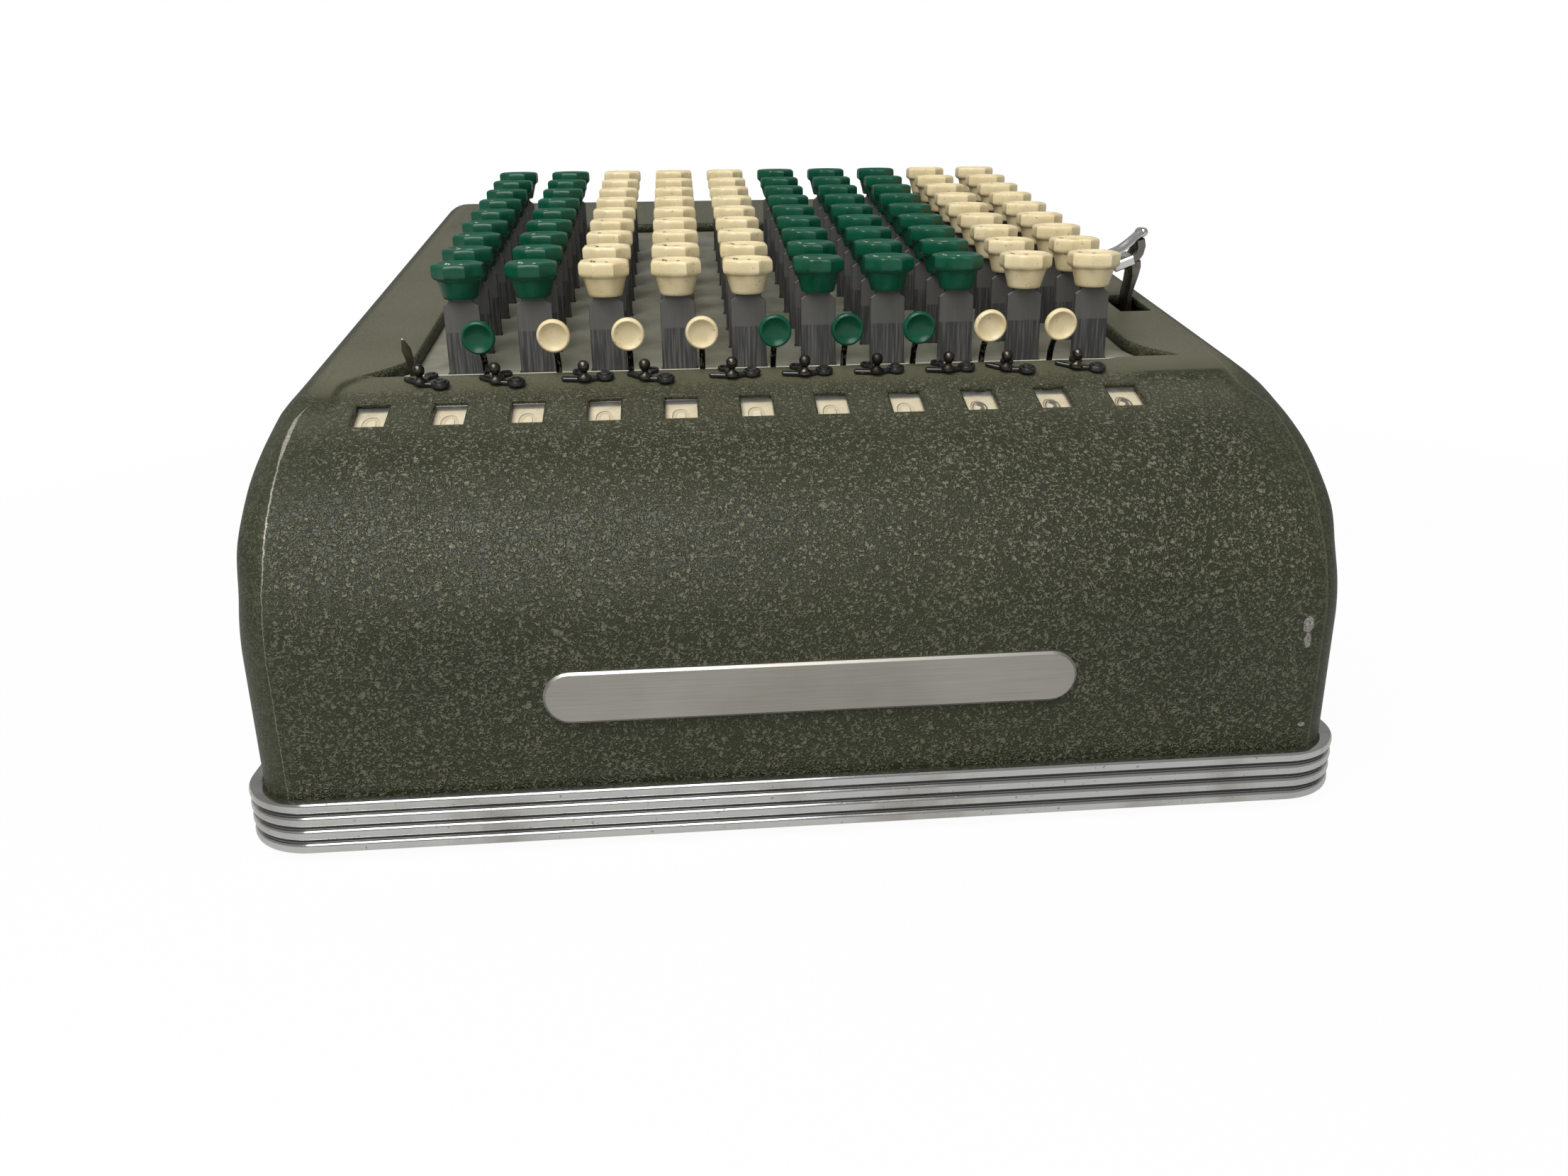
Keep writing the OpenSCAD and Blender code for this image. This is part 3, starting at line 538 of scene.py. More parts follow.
for i in range(COLUMNS):
    body, tag = f"key_column_{i + 1:02d}", f"{i + 1:02d}"
    caps, stems, prints = Shape(), Shape(), Shape()
    for row in range(ROWS):
        top = on_slope(column_x(i), row * ROW_PITCH, 0)
        seat = turned_to(top, CAP_TILT, "X")
        caps.turned(CAP_PROFILE, seat, 48, scallop)
        rise = row * ROW_PITCH * sin(SLOPE)
        neck_z, shoulder_z, tongue_z = top.z - CAP_H, STEM_SHOULDER_Z + rise, foot_z + rise
        outline = [
            (-tongue, tongue_z), (tongue, tongue_z), (tongue, shoulder_z), (half, shoulder_z),
            (half, neck_z - NECK_LOW), (neck, neck_z - NECK_HIGH), (neck, neck_z + NECK_IN),
            (-neck, neck_z + NECK_IN), (-neck, neck_z - NECK_HIGH), (-half, neck_z - NECK_LOW),
            (-half, shoulder_z), (-tongue, shoulder_z)]
        stems.slab(outline, -STEM_T / 2, STEM_T / 2, turned_to((top.x, top.y, 0), 90, "X"))
        spring, spring_foot = Shape(), Vector((top.x, top.y, SPRING_LOW + rise))
        spring.swept(coil(spring_foot), wire_section, Vector((0, 0, 1)))
        wire = spring.piece(
            f"key_coil_{tag}_{row + 1}", spring_steel, "machine", "plate_steel",
            ["key_springs"] if i == row == 0 else ())
        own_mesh(wire)
        for (points, faces), at in ((large_figures[row], LARGE_AT), (small_figures[row], SMALL_AT)):
            laid = []
            for p in points:
                x, y = p.x + at[0], p.y + at[1]
                laid.append(seat @ Vector((x, y, dish_level(hypot(x, y)) + PRINT_LIFT)))
            prints.add(laid, faces)
    slot, cap_plastic, print_ink = key_looks[i in GREEN_COLUMNS]
    caps.piece(f"key_caps_{tag}", cap_plastic, body, slot, [body])
    stems.piece(f"key_stems_{tag}", stem_steel, body, "plate_steel")
    prints.piece(f"key_prints_{tag}", print_ink, body, slot, closed=False)

# Carry cut-off tabs.
# Ten flat blued strips on a cross rod before the first key row, nine with a moulded dished button in front.
# The first has lost its button and shows a bare blade of bright steel, tarnished in patches.
TAB_X = -13.0
TAB_V, TAB_W = -11.3, -36.0
BEND_UP = 12.0
LEAN = radians(35)
BUTTON_W = -15.0
BUTTON_R = 4.3
STRIP_W, STRIP_T = 1.5, 0.55
STRIP_FAT, STRIP_LEAN, STRIP_INNER = 1.3, 0.7, 0.4
FOOT_UP, BEND_DOWN, BEND_OUT, KNEE_OUT, KNEE_UP = 1.6, 3, 0.3, 1.4, 2.2
BLADE_GROW = [(1, 1), (1.1, 1.3), (1.2, 1.5), (1.3, 1.7), (1.5, 1.5), (0.3, 0.6)]
TAB_HUB = [(1.5, -1.5), (2.4, -1.5), (2.6, -1.3), (2.6, 1.3), (2.4, 1.5), (1.5, 1.5)]
TAB_PROFILE = [
    (0.7, 0.3), (1.6, 0.36), (2.5, 0.55), (3.1, 0.86), (3.45, 1.1), (3.7, 1.2), (3.95, 1.14), (4.2, 0.9),
    (BUTTON_R, 0.5), (BUTTON_R, -0.3), (4.1, -0.8), (3.4, -1.1), (2.0, -1.2), (1.0, -1.2)]
strip_steel = Finish("tab_strip")
strip_rub = strip_steel.streaks((1500, 1500, 200), 3, 0.4).span(0.5, 0.66)
strip_steel.surface({
    "Base Color": strip_rub.blend((40, 39, 36), (150, 147, 138)),
    "Metallic": 0.8,
    "Roughness": 0.34 + 0.2 * strip_rub,
    "Normal": strip_rub.bump(0.04)})
half_w, half_t = STRIP_W / 2, STRIP_T / 2
thick, thin, inner = half_t * STRIP_FAT, half_t * STRIP_LEAN, half_w * STRIP_INNER
strip_section = [
    (-half_w, -half_t), (-inner, -thick), (inner, -thin), (half_w, -half_t),
    (half_w, half_t), (inner, thick), (-inner, thin), (-half_w, half_t)]
reach = (BUTTON_W - TAB_W - BEND_UP) / cos(LEAN)
bend = (TAB_V, TAB_W + BEND_UP)
knee = (bend[0] - KNEE_OUT, bend[1] + KNEE_UP)
tip = (bend[0] - reach * sin(LEAN), bend[1] + reach * cos(LEAN))
route = [
    (TAB_V, TAB_W + FOOT_UP), (bend[0], bend[1] - BEND_DOWN), (bend[0] - BEND_OUT, bend[1]), knee,
    ((knee[0] + tip[0]) / 2, (knee[1] + tip[1]) / 2), tip]
for i in range(COLUMNS):
    body = f"cutoff_tab_{i + 1:02d}"
    x = column_x(i) + TAB_X
    spots = [on_slope(x, v, w) for v, w in route]
    strip = Shape()
    strip.turned(TAB_HUB, turned_to(on_slope(x, TAB_V, TAB_W), 90, "Y"), 24)
    if i:
        strip.swept(spots, strip_section, Vector((0, -1, 0)))
        strip.piece(f"cutoff_strip_{i + 1:02d}", strip_steel, body, "lever_chrome")
        button = Shape()
        button.turned(TAB_PROFILE, turned_to(spots[-1], degrees(SLOPE) + 90, "X"), 40)
        slot, button_plastic, _ = key_looks[i in GREEN_COLUMNS]
        button.piece(f"cutoff_button_{i + 1:02d}", button_plastic, body, slot, [body])
    else:
        strip.swept(spots, strip_section, Vector((0, -1, 0)), BLADE_GROW)
        blade_steel = steel_finish(
            "blade_steel", (176, 172, 160), (112, 108, 98), 0.3, (1500, 1500, 200))
        strip.piece("cutoff_blade_01", blade_steel, body, "lever_chrome", [body])

# Casing.
# One shell of pressed and cast metal, its paint crinkled on the sunk front panel, smoother on the shoulders.
# The panel meets the rounded sides in a crease, rubbed to bright metal on the left and chipped on the right.
HALF_W, HALF_D = 129.0, 161.0
CASING_LOW = 4.5
DECK_W = -25.0
PANEL_DROP, PANEL_SINK = 0.6, 1.0
PANEL_R, NOSE_R, REAR_R = 80.0, 36.0, 20.0
NOSE_TURN = 22.0
PANEL_V, REAR_V = -14.56, 220.5
DECK_EDGE = 118.0
SIDE_EDGE = {1: 122.5, -1: 121.0}
SIDE_KINK = radians(20)
SIDE_DEEP, NOSE_DEEP = 11.0, 7.0
FULL_ARC = 80.0
LIP = 1.4
LIP_DEEP = 2.9
OPEN_X, OPEN_TIP = 98.5, 107.0
OPEN_FRONT, OPEN_REAR = -14.0, 172.0
FLARE_L, TIP_SPREAD = 16.0, 2.4
WINDOW_W, WINDOW_L = 8.0, 10.6
WINDOW_ARC = 15.86
WINDOW_LIP = 0.5
WINDOW_DEEP = 1.0
SLOT = (112.3, 117.7, 29.6, 48.7)
SLOT_LIP, SLOT_FIRST, SLOT_LAST, SLOT_SHARE = 0.5, 2, 9, 0.9
SHELL_T = 1.0
SWELL, SWELL_AT, SWELL_REACH = 3.0, 44.0, 28.0
FOOT_ROWS, NOSE_STEPS, RUN_STEPS, FLARE_STEPS = 7, 20, 8, 14
DECK_STEPS, REAR_STEPS, BACK_STEPS, REAR_TURN = 7, 14, 6, 100
panel_mid = Vector((-HALF_D + PANEL_SINK + PANEL_R, on_slope(0, PANEL_V, DECK_W - PANEL_DROP - PANEL_R).z))
front_r = PANEL_R + PANEL_SINK
front_mid = Vector((-HALF_D + front_r, on_slope(0, PANEL_V, DECK_W - front_r).z))
rear_mid = Vector((HALF_D - REAR_R, on_slope(0, REAR_V, DECK_W - REAR_R).z))


def ease(t):
    t = min(1.0, max(0.0, t))
    return t * t * (3 - 2 * t)


def ramp(value, start, width):
    return ease((value - start) / width)


def leaning(angle):
    """The outward way, front to back and up, leaning from the deck's normal to the front by degrees."""
    turn = SLOPE + radians(angle)
    return Vector((-sin(turn), cos(turn)))


def flat(v, w):
    spot = on_slope(0, v, w)
    return Vector((spot.y, spot.z))


def window_x(n):
    return column_x(n - 1)


# Stations from the front's foot over the top to the rear's foot, each with its panel point, casing point,
# outward way and panel angle
window_edge = degrees((WINDOW_L / 2 + WINDOW_LIP) / PANEL_R)
front_end = OPEN_FRONT - LIP
nose_stops = [FULL_ARC - (FULL_ARC - NOSE_TURN) * k / NOSE_STEPS for k in range(NOSE_STEPS + 1)]
run_stops = [k / RUN_STEPS for k in reversed(range(RUN_STEPS))]
arc_stops = [WINDOW_ARC + window_edge * step for step in (1, 0.5, 0, -0.5, -1)]
arc_stops += [11.4, 10.4, 9.4, 8.4, 7.2, 5.8, 4.4, 3, 1.8, degrees((PANEL_V - front_end) / PANEL_R)]
angles = [FULL_ARC] * FOOT_ROWS + nose_stops + [NOSE_TURN] * len(run_stops) + arc_stops
window_rows = [angles.index(arc_stops[0]), angles.index(arc_stops[4])]


def swell(along):
    """How far the front is pressed out, at a distance along its outline from the panel's top edge."""
    return SWELL * ease(1 - abs(along - SWELL_AT) / SWELL_REACH)


def front_line(mid, radius, front, nose_r):
    """The front's outline: an upright foot, the nose, a slightly swelled run and the panel's curve."""
    out = leaning(NOSE_TURN)
    down = Vector((-out.y, out.x))
    run = (mid.x + radius * out.x - front - nose_r * (1 + out.x)) / out.y
    nose_mid = mid + out * (radius - nose_r) + down * run
    line = [Vector((front, CASING_LOW + (nose_mid.y - CASING_LOW) * k / FOOT_ROWS)) for k in range(FOOT_ROWS)]
    before = radius * radians(NOSE_TURN)
    for angle in nose_stops:
        along = before + run + nose_r * radians(angle - NOSE_TURN)
        line.append(nose_mid + leaning(angle) * (nose_r + swell(along)))
    for share in run_stops:
        line.append(mid + out * (radius + swell(before + run * share)) + down * (run * share))
    for angle in arc_stops:
        line.append(mid + leaning(angle) * (radius + swell(radius * radians(angle))))
    return line


stations = list(zip(
    front_line(panel_mid, PANEL_R, -HALF_D + PANEL_SINK, NOSE_R),
    front_line(front_mid, front_r, -HALF_D, NOSE_R + PANEL_SINK),
    [leaning(angle) for angle in angles], angles))
front_row = len(stations) - 1
slot_ends = [SLOT[2] - SLOT_LIP, SLOT[3] + SLOT_LIP]
side_stops = [OPEN_FRONT + FLARE_L * (k / FLARE_STEPS) for k in range(1, FLARE_STEPS + 1)]
side_stops += [6, 12, 20, slot_ends[0], 36, 42, slot_ends[1]] + [58 + 9.5 * k for k in range(12)]
slot_rows = [front_row + 1 + side_stops.index(end) for end in slot_ends]


def smooth_station(spot, out):
    stations.append((spot, spot, out, None))


for v in side_stops:
    smooth_station(flat(v, DECK_W), leaning(0))
rear_row = len(stations)
for k in range(DECK_STEPS + 1):
    v = OPEN_REAR + LIP + (REAR_V - OPEN_REAR - LIP) * k / DECK_STEPS
    smooth_station(flat(v, DECK_W), leaning(0))
for k in range(1, REAR_STEPS + 1):
    out = leaning(-REAR_TURN * k / REAR_STEPS)
    smooth_station(rear_mid + out * REAR_R, out)
for k in range(1, BACK_STEPS + 1):
    back = Vector((HALF_D, rear_mid.y + (CASING_LOW - rear_mid.y) * k / BACK_STEPS))
    smooth_station(back, Vector((1, 0)))

# Lines across, from the middle to each side; the tip line carries the keyboard opening's corner
tip_x = OPEN_TIP + LIP * TIP_SPREAD
hole_half = WINDOW_W / 2 + WINDOW_LIP
cross_steps = (-hole_half, -2, 0, 2, hole_half, 7.2, 9.5, 11.8)
cross_x = [window_x(n) + step for n in range(COLUMNS + 1) for step in cross_steps]
inner_x = {side: [0.0] + sorted(side * x for x in cross_x if 1 < side * x < tip_x - 1) for side in (1, -1)}
inner_x[1] += [102.0, 105.5, 108.5]
outer_x = [tip_x, 111.3, SLOT[0] - SLOT_LIP, 112.8, 113.6, 114.4, 115.2, 116.0, 116.8, SLOT[1] + 0.1]
full_x = [-x for x in reversed(inner_x[-1][1:] + outer_x)] + inner_x[1] + outer_x
ROUND_STEPS = 9
CREASE_STEP, LINE_GAP = 0.6, 0.05
SIDE_COUNT = ROUND_STEPS + 3
SHOULDER_X = 120
ROUGH_DECK, ROUGH_REAR, ROUGH_REAR_SIDE = 0.12, 0.55, 0.45
ROUGH_CREASE, ROUGH_ROUND, ROUGH_MORE, ROUGH_LIP, ROUGH_FOOT = 0.25, 0.2, 0.15, 0.3, 0.4

# Ramps, each a start and a width: steps and sides in millimetres from the middle, the others in panel degrees
LEFT_STEP, LEFT_STEP_W, LEFT_SHIFT, LEFT_BEND, LEFT_FADE = 108.5, 2, 4.5, (0, 6), (9, 7)
RIGHT_STEP, RIGHT_FADE = (114.5, 3), (13, 9)
LEDGE_STEP, LEDGE_FADE = (88, 9), (8.4, 1.8)
CRINKLE_TOP, CRINKLE_STARTS = 0.15, (6.5, 4)
SHOULDER_SMOOTH = 0.85
SIDE_SMOOTH, SIDE_STARTS, SIDE_FADE = 0.7, (107, 10), (20, 16)
FOOT_SMOOTH, FOOT_STARTS = 0.3, (44, 28)
NOSE_STARTS, NOSE_FADE = (0, 14), (30, 25)


def raised(x, angle):
    """How far the casing's own level shows over the sunk panel: whole on the shoulders, none on the panel."""
    if x < 0:
        step = LEFT_STEP + LEFT_SHIFT * ramp(angle, *LEFT_BEND)
        return ramp(-x, step, LEFT_STEP_W) * (1 - ramp(angle, *LEFT_FADE))
    side = ramp(x, *RIGHT_STEP) * (1 - ramp(angle, *RIGHT_FADE))
    ledge = ramp(x, *LEDGE_STEP) * (1 - ramp(angle, *LEDGE_FADE))
    return max(side, ledge)


def crinkled(x, angle):
    """Strength of the crinkle: full below the windows, weak above them, on the shoulders and at the foot."""
    strength = CRINKLE_TOP + (1 - CRINKLE_TOP) * ramp(angle, *CRINKLE_STARTS)
    strength *= 1 - SHOULDER_SMOOTH * raised(x, angle)
    strength *= 1 - SIDE_SMOOTH * ramp(abs(x), *SIDE_STARTS) * (1 - ramp(angle, *SIDE_FADE))
    return strength * (1 - FOOT_SMOOTH * ramp(angle, *FOOT_STARTS))


def opening_edge(v):
    share = min(1.0, max(0.0, (v - OPEN_FRONT) / FLARE_L))
    return OPEN_X + (OPEN_TIP - OPEN_X) * (1 - share) ** 2


def drawn_in(start):
    """Where the outer lines run, the first few drawn in to an opening's edge, and each one's share."""
    for x in outer_x:
        share = min(1.0, (x - tip_x) / (outer_x[3] - tip_x))
        yield x if share >= 1 else start + (outer_x[3] - start) * share, share


casing = Shape()
crinkle, crease = [], []
grid = []


def put(point, rough, gap=SIDE_DEEP):
    casing.points.append(point)
    crinkle.append(rough)
    crease.append(gap)
    return len(casing.points) - 1


edge_deep = []
for *_, angle in stations:
    nose = 0.0 if angle is None else ramp(angle, *NOSE_STARTS) * (1 - ramp(angle, *NOSE_FADE))
    edge_deep.append(SIDE_DEEP + (NOSE_DEEP - SIDE_DEEP) * nose)
edge_spots = [s[1] - s[2] * deep for s, deep in zip(stations, edge_deep)]
lengths = [0.0]
for before, after in zip(edge_spots, edge_spots[1:]):
    lengths.append(lengths[-1] + (after - before).length)
for row, (panel, face, out, angle) in enumerate(stations):
    right, left = [], []
    in_opening = front_row < row < rear_row
    for side, line in ((1, right), (-1, left)):
        sunk = 0.0 if angle is None else 1 - raised(side * SHOULDER_X, angle)
        sink, start = (face - panel).dot(out) * sunk, SIDE_KINK * sunk
        crease_x = DECK_EDGE + (SIDE_EDGE[side] - DECK_EDGE) * sunk
        spots = []
        if in_opening:
            v = side_stops[row - front_row - 1]
            slant = -2 * (OPEN_TIP - OPEN_X) * (1 - min(1.0, (v - OPEN_FRONT) / FLARE_L)) / FLARE_L
            away = Vector((1.0, -slant)).normalized()
            edge_x, edge_v = opening_edge(v) + LIP * away.x, v + LIP * away.y
            for x, share in drawn_in(edge_x):
                spots.append((on_slope(side * x, edge_v + (v - edge_v) * share, DECK_W), ROUGH_DECK))
        elif row >= rear_row:
            squeeze = (OPEN_X + LIP) / tip_x
            for x in inner_x[side]:
                spots.append((Vector((side * x * squeeze, *face)), ROUGH_REAR))
            for x, _ in drawn_in(tip_x * squeeze):
                spots.append((Vector((side * x, *face)), ROUGH_REAR_SIDE))
        else:
            for x in inner_x[side] + outer_x:
                spot = panel.lerp(face, raised(side * x, angle))
                spots.append((Vector((side * x, *spot)), crinkled(side * x, angle), x - crease_x))
        near_x = max(outer_x[-1] + LINE_GAP, crease_x - CREASE_STEP)
        spots.append((Vector((side * near_x, *(face - out * sink))), ROUGH_CREASE, near_x - crease_x))
        for k in range(ROUND_STEPS + 1):
            turn = start + (pi / 2 - start) * k / ROUND_STEPS
            over = (HALF_W - crease_x) * (sin(turn) - sin(start)) / (1 - sin(start))
            under = (edge_deep[row] - sink) * (1 - cos(turn) / cos(start))
            spot = Vector((side * (crease_x + over), *(face - out * (sink + under))))
            spots.append((spot, ROUGH_ROUND + ROUGH_MORE * k / ROUND_STEPS, hypot(over, under)))
        low_y = edge_spots[0].x + (edge_spots[-1].x - edge_spots[0].x) * lengths[row] / lengths[-1]
        spots.append((Vector((side * HALF_W, low_y, CASING_LOW)), ROUGH_FOOT))
        first = 0 if (side == 1 or in_opening) else 1
        line += [put(*spot) for spot in spots[first:]]
    grid.append((left[::-1], right))

for row in range(len(stations) - 1):
    (left_a, right_a), (left_b, right_b) = grid[row], grid[row + 1]
    if row < front_row or row >= rear_row:
        line_a, line_b = left_a + right_a, left_b + right_b
        for k in range(len(line_a) - 1):
            at = k - SIDE_COUNT
            if window_rows[0] <= row < window_rows[1] and 0 <= at < len(full_x) - 1:
                middle = (full_x[at] + full_x[at + 1]) / 2
                if min(abs(middle - window_x(n)) for n in range(COLUMNS + 1)) < hole_half:
                    continue
            casing.faces.append((line_a[k], line_a[k + 1], line_b[k + 1], line_b[k]))
    else:
        width = len(outer_x) + SIDE_COUNT
        for a, b, side in ((left_a[:width], left_b[:width], -1), (right_a[-width:], right_b[-width:], 1)):
            for k in range(width - 1):
                if side == 1 and slot_rows[0] <= row < slot_rows[1] and SLOT_FIRST <= k < SLOT_LAST:
                    continue
                casing.faces.append((a[k], a[k + 1], b[k + 1], b[k]))


def lip(rim, up, deep, radius, steps=5):
    """Turns a hole's rim down in a rounded edge and a lip; rim pairs grid points with the true edge."""
    rings = [[index for index, _ in rim]]
    for k in range(1, steps + 2):
        turn = radians(90 * min(k, steps) / steps)
        ring = []
        for index, edge in rim:
            start = casing.points[index]
            spot = start + (edge - start) * sin(turn) - up * (radius * (1 - cos(turn)))
            ring.append(put(edge - up * deep if k > steps else spot, ROUGH_LIP))
        rings.append(ring)
    for a, b in zip(rings, rings[1:]):
        for k in range(len(rim)):
            after = (k + 1) % len(rim)
            casing.faces.append((a[k], a[after], b[after], b[k]))


def patch_rim(ranks, low, high, lines):
    """The grid points round a patch of the grid between two rows, from its front left corner to the right."""
    loop = [ranks[low][k] for k in lines] + [ranks[r][lines[-1]] for r in range(low + 1, high)]
    loop += [ranks[high][k] for k in reversed(lines)]
    return loop + [ranks[r][lines[0]] for r in range(high - 1, low, -1)]


def to_tips(row):
    """The grid points of a row between the opening's two tip lines."""
    return grid[row][0][SIDE_COUNT + len(outer_x) - 1:] + grid[row][1][:len(inner_x[1]) + 1]


# Keyboard opening, seen from outside and turning left: front edge to the right, right side, rear, left side
deck_up = Vector((0, *leaning(0)))
rim = []
for index in to_tips(front_row):
    point = casing.points[index]
    level = (point - on_slope(point.x, front_end, 0)).dot(deck_up)
    rim.append((index, on_slope(point.x * OPEN_TIP / tip_x, OPEN_FRONT, 0) + deck_up * level))
sides = list(zip(side_stops, grid[front_row + 1:rear_row]))
rim += [(right[0], on_slope(opening_edge(v), v, DECK_W)) for v, (_, right) in sides]
for index in reversed(to_tips(rear_row)):
    rim.append((index, on_slope(casing.points[index].x * OPEN_X / (OPEN_X + LIP), OPEN_REAR, DECK_W)))
rim += [(left[-1], on_slope(-opening_edge(v), v, DECK_W)) for v, (left, _) in reversed(sides)]
lip(rim, deck_up, LIP_DEEP, LIP)

# Windows
window_up = Vector((0, *leaning(WINDOW_ARC)))
window_along = Vector((0, window_up.z, -window_up.y))
window_mid = Vector((0, *panel_mid)) + window_up * PANEL_R
for n in range(COLUMNS + 1):
    x = window_x(n)
    lines = [SIDE_COUNT + k for k, at in enumerate(full_x) if abs(at - x) <= hole_half + LINE_GAP]
    rim = []
    for index in patch_rim([left + right for left, right in grid], *window_rows, lines):
        away = casing.points[index] - window_mid
        along = max(-WINDOW_L / 2, min(WINDOW_L / 2, away.dot(window_along)))
        across = max(-WINDOW_W / 2, min(WINDOW_W / 2, away.x - x))
        level = window_mid + window_along * along + window_up * away.dot(window_up)
        rim.append((index, Vector((x + across, level.y, level.z))))
    lip(rim, window_up, WINDOW_DEEP, WINDOW_LIP)

# Slot of the clearing lever in the right shoulder
slot_mid = on_slope((SLOT[0] + SLOT[1]) / 2, (SLOT[2] + SLOT[3]) / 2, DECK_W)
rim = []
for index in patch_rim([right for _, right in grid], *slot_rows, range(SLOT_FIRST, SLOT_LAST + 1)):
    rim.append((index, slot_mid + (casing.points[index] - slot_mid) * SLOT_SHARE))
lip(rim, deck_up, LIP_DEEP, SLOT_LIP)

# Where the paint is worn, each pair the two ends of a fade in metres
FRONT_ENDS, LEFT_ENDS, RIGHT_STARTS = (-0.09, -0.08), (-0.06, -0.05), (0.05, 0.06)
RUB_STARTS, RUB_ENDS = (0.058, 0.074), (0.0945, 0.097)
BARE_STARTS, BARE_ENDS = (0.086, 0.0905), (0.0925, 0.096)
HAIR_LEFT, HAIR_RIGHT, HAIR_LOW, HAIR_TOP = (-0.046, -0.03), (-0.012, 0.002), (0.058, 0.066), (0.08, 0.088)
paint = Finish("casing_paint")
paint_rough = paint.mark("crinkle")
paint_gap = paint.mark("crease")
paint_x, paint_y, paint_z = [paint.axis(number) for number in range(3)]
paint_up = paint.node("SeparateXYZ", {}, {0: paint.node("NewGeometry", out="Normal")}, 2)
on_front = 1 - paint_y.span(*FRONT_ENDS)
worms = 1 - abs(paint.noise(880, 1.5, 0.9) * 2 - 1) * 3.0
ridges = worms.span(0.3, 1.0)
grain = paint.noise(1500, 3)
cloud = paint.noise(18, 4, 0.3).span(0.3, 0.7)
jag = paint.noise(700, 5) - 0.5
on_left = on_front * (1 - paint_x.span(*LEFT_ENDS))
on_right = on_front * paint_x.span(*RIGHT_STARTS)
rubbed = paint_z.span(*BARE_STARTS) * (1 - paint_z.span(*BARE_ENDS))
rub_upper = paint_z.span(*RUB_STARTS)
rub_w = 0.14 + 0.12 * rub_upper + 0.5 * rubbed
rub_line = 1 - abs(paint_gap - 0.3 * rubbed + 0.9 * jag).span(0.55 * rub_w, rub_w)
rub = rub_line * on_left * (0.3 + 0.5 * rub_upper + 0.2 * rubbed) * (1 - paint_z.span(*RUB_ENDS))
thin_line = (1 - abs(paint_gap).span(0.1, 0.5)) * on_right * 0.15


def chip(gap, height, wide, tall):
    """A ragged chip by the right crease: its distance from the crease and its height, then its half sizes."""
    u, v = (paint_gap - gap) * (1 / wide), (paint_z - height * METRE) * (1 / tall / METRE)
    return (1 - (u * u + v * v + 1.6 * jag).span(0.75, 1.0)) * on_right


chips = chip(-3.9, 46.4, 1.4, 2.2) + chip(-3.7, 42.4, 0.9, 2.0)
chips = chips + chip(-2.4, 20.4, 1.0, 0.6) + chip(6.5, 51, 1.4, 4.0)
hair_run = {"Vector": paint.place, "Rotation": (0, 0.6, 0), "Scale": (22, 800, 800)}
hair_lines = paint.noise(1.0, 2, 0.25, paint.node("Mapping", {}, hair_run))
hair_here = paint_x.span(*HAIR_LEFT) * (1 - paint_x.span(*HAIR_RIGHT))
hair_here = hair_here * on_front * paint_z.span(*HAIR_LOW)
hairs = hair_lines.span(0.64, 0.7) * hair_here * (1 - paint_z.span(*HAIR_TOP))
# Painted light: faces that turn up get a much lighter paint than the front, as if lit from above.
front_paint = cloud.blend((38, 41, 22), (46, 49, 29))
painted_top_light = cloud.blend((80, 79, 60), (90, 88, 69))
paint_with_top_light = paint_up.span(0.9, 0.985).blend(front_paint, painted_top_light)
# Painted highlight: the crinkle's ridges are lighter, as if light caught their tips; the same ridges also
# bump the surface.
paint_with_ridge_highlights = (ridges * paint_rough).blend(paint_with_top_light, (106, 107, 88))
lined_paint = (thin_line + 0.4 * hairs).blend(paint_with_ridge_highlights, (136, 132, 112))
chipped_paint = chips.blend(lined_paint, (140, 138, 130))
paint.surface({
    "Base Color": rub.blend(chipped_paint, (168, 163, 150)),
    "Metallic": 0.5 * rub,
    "Specular IOR Level": 0.32,
    "Roughness": 0.32 + 0.12 * grain - 0.04 * rub,
    "Normal": (ridges * paint_rough + 0.12 * grain - 0.5 * chips).bump(0.6)})
shell = casing.piece("casing_shell", paint, "machine", "casing_paint", ["casing"], 40, closed=False)
for name, values in (("crinkle", crinkle), ("crease", crease)):
    marks = shell.data.attributes.new(name, "FLOAT", "POINT")
    marks.data.foreach_set("value", values)
wall = shell.modifiers.new("thickness", "SOLIDIFY")
wall.thickness, wall.offset = SHELL_T * METRE, -1.0

# Window glass.
# A flat strip of clear glass, a little dusty, held against the inside of the panel behind all the windows.
glass = Finish("window_glass")
glass_dust = glass.noise(300, 4).span(0.5, 0.8)
glass.surface({
    "Base Color": srgb(236, 238, 232),
    "Roughness": 0.04 + 0.2 * glass_dust,
    "Alpha": 0.04 + 0.05 * glass_dust})
PANE_L, PANE_T, PANE_OVER, PANE_GAP, PANE_EASE = 14.6, 0.3, 2.5, 0.05, 0.1
pane_top = PANEL_R - SHELL_T - (PANE_L / 2) ** 2 / (2 * PANEL_R) - PANE_GAP
left, right = window_x(0) - WINDOW_W / 2 - PANE_OVER, window_x(COLUMNS) + WINDOW_W / 2 + PANE_OVER
pane = Shape()
pane.slab(
    [(left, -PANE_L / 2), (right, -PANE_L / 2), (right, PANE_L / 2), (left, PANE_L / 2)],
    pane_top - PANE_T, pane_top, turned_to((0, *panel_mid), degrees(SLOPE) + WINDOW_ARC, "X"), PANE_EASE)
pane.piece("window_pane", glass, "machine", "window_glass", ["window_glass"])

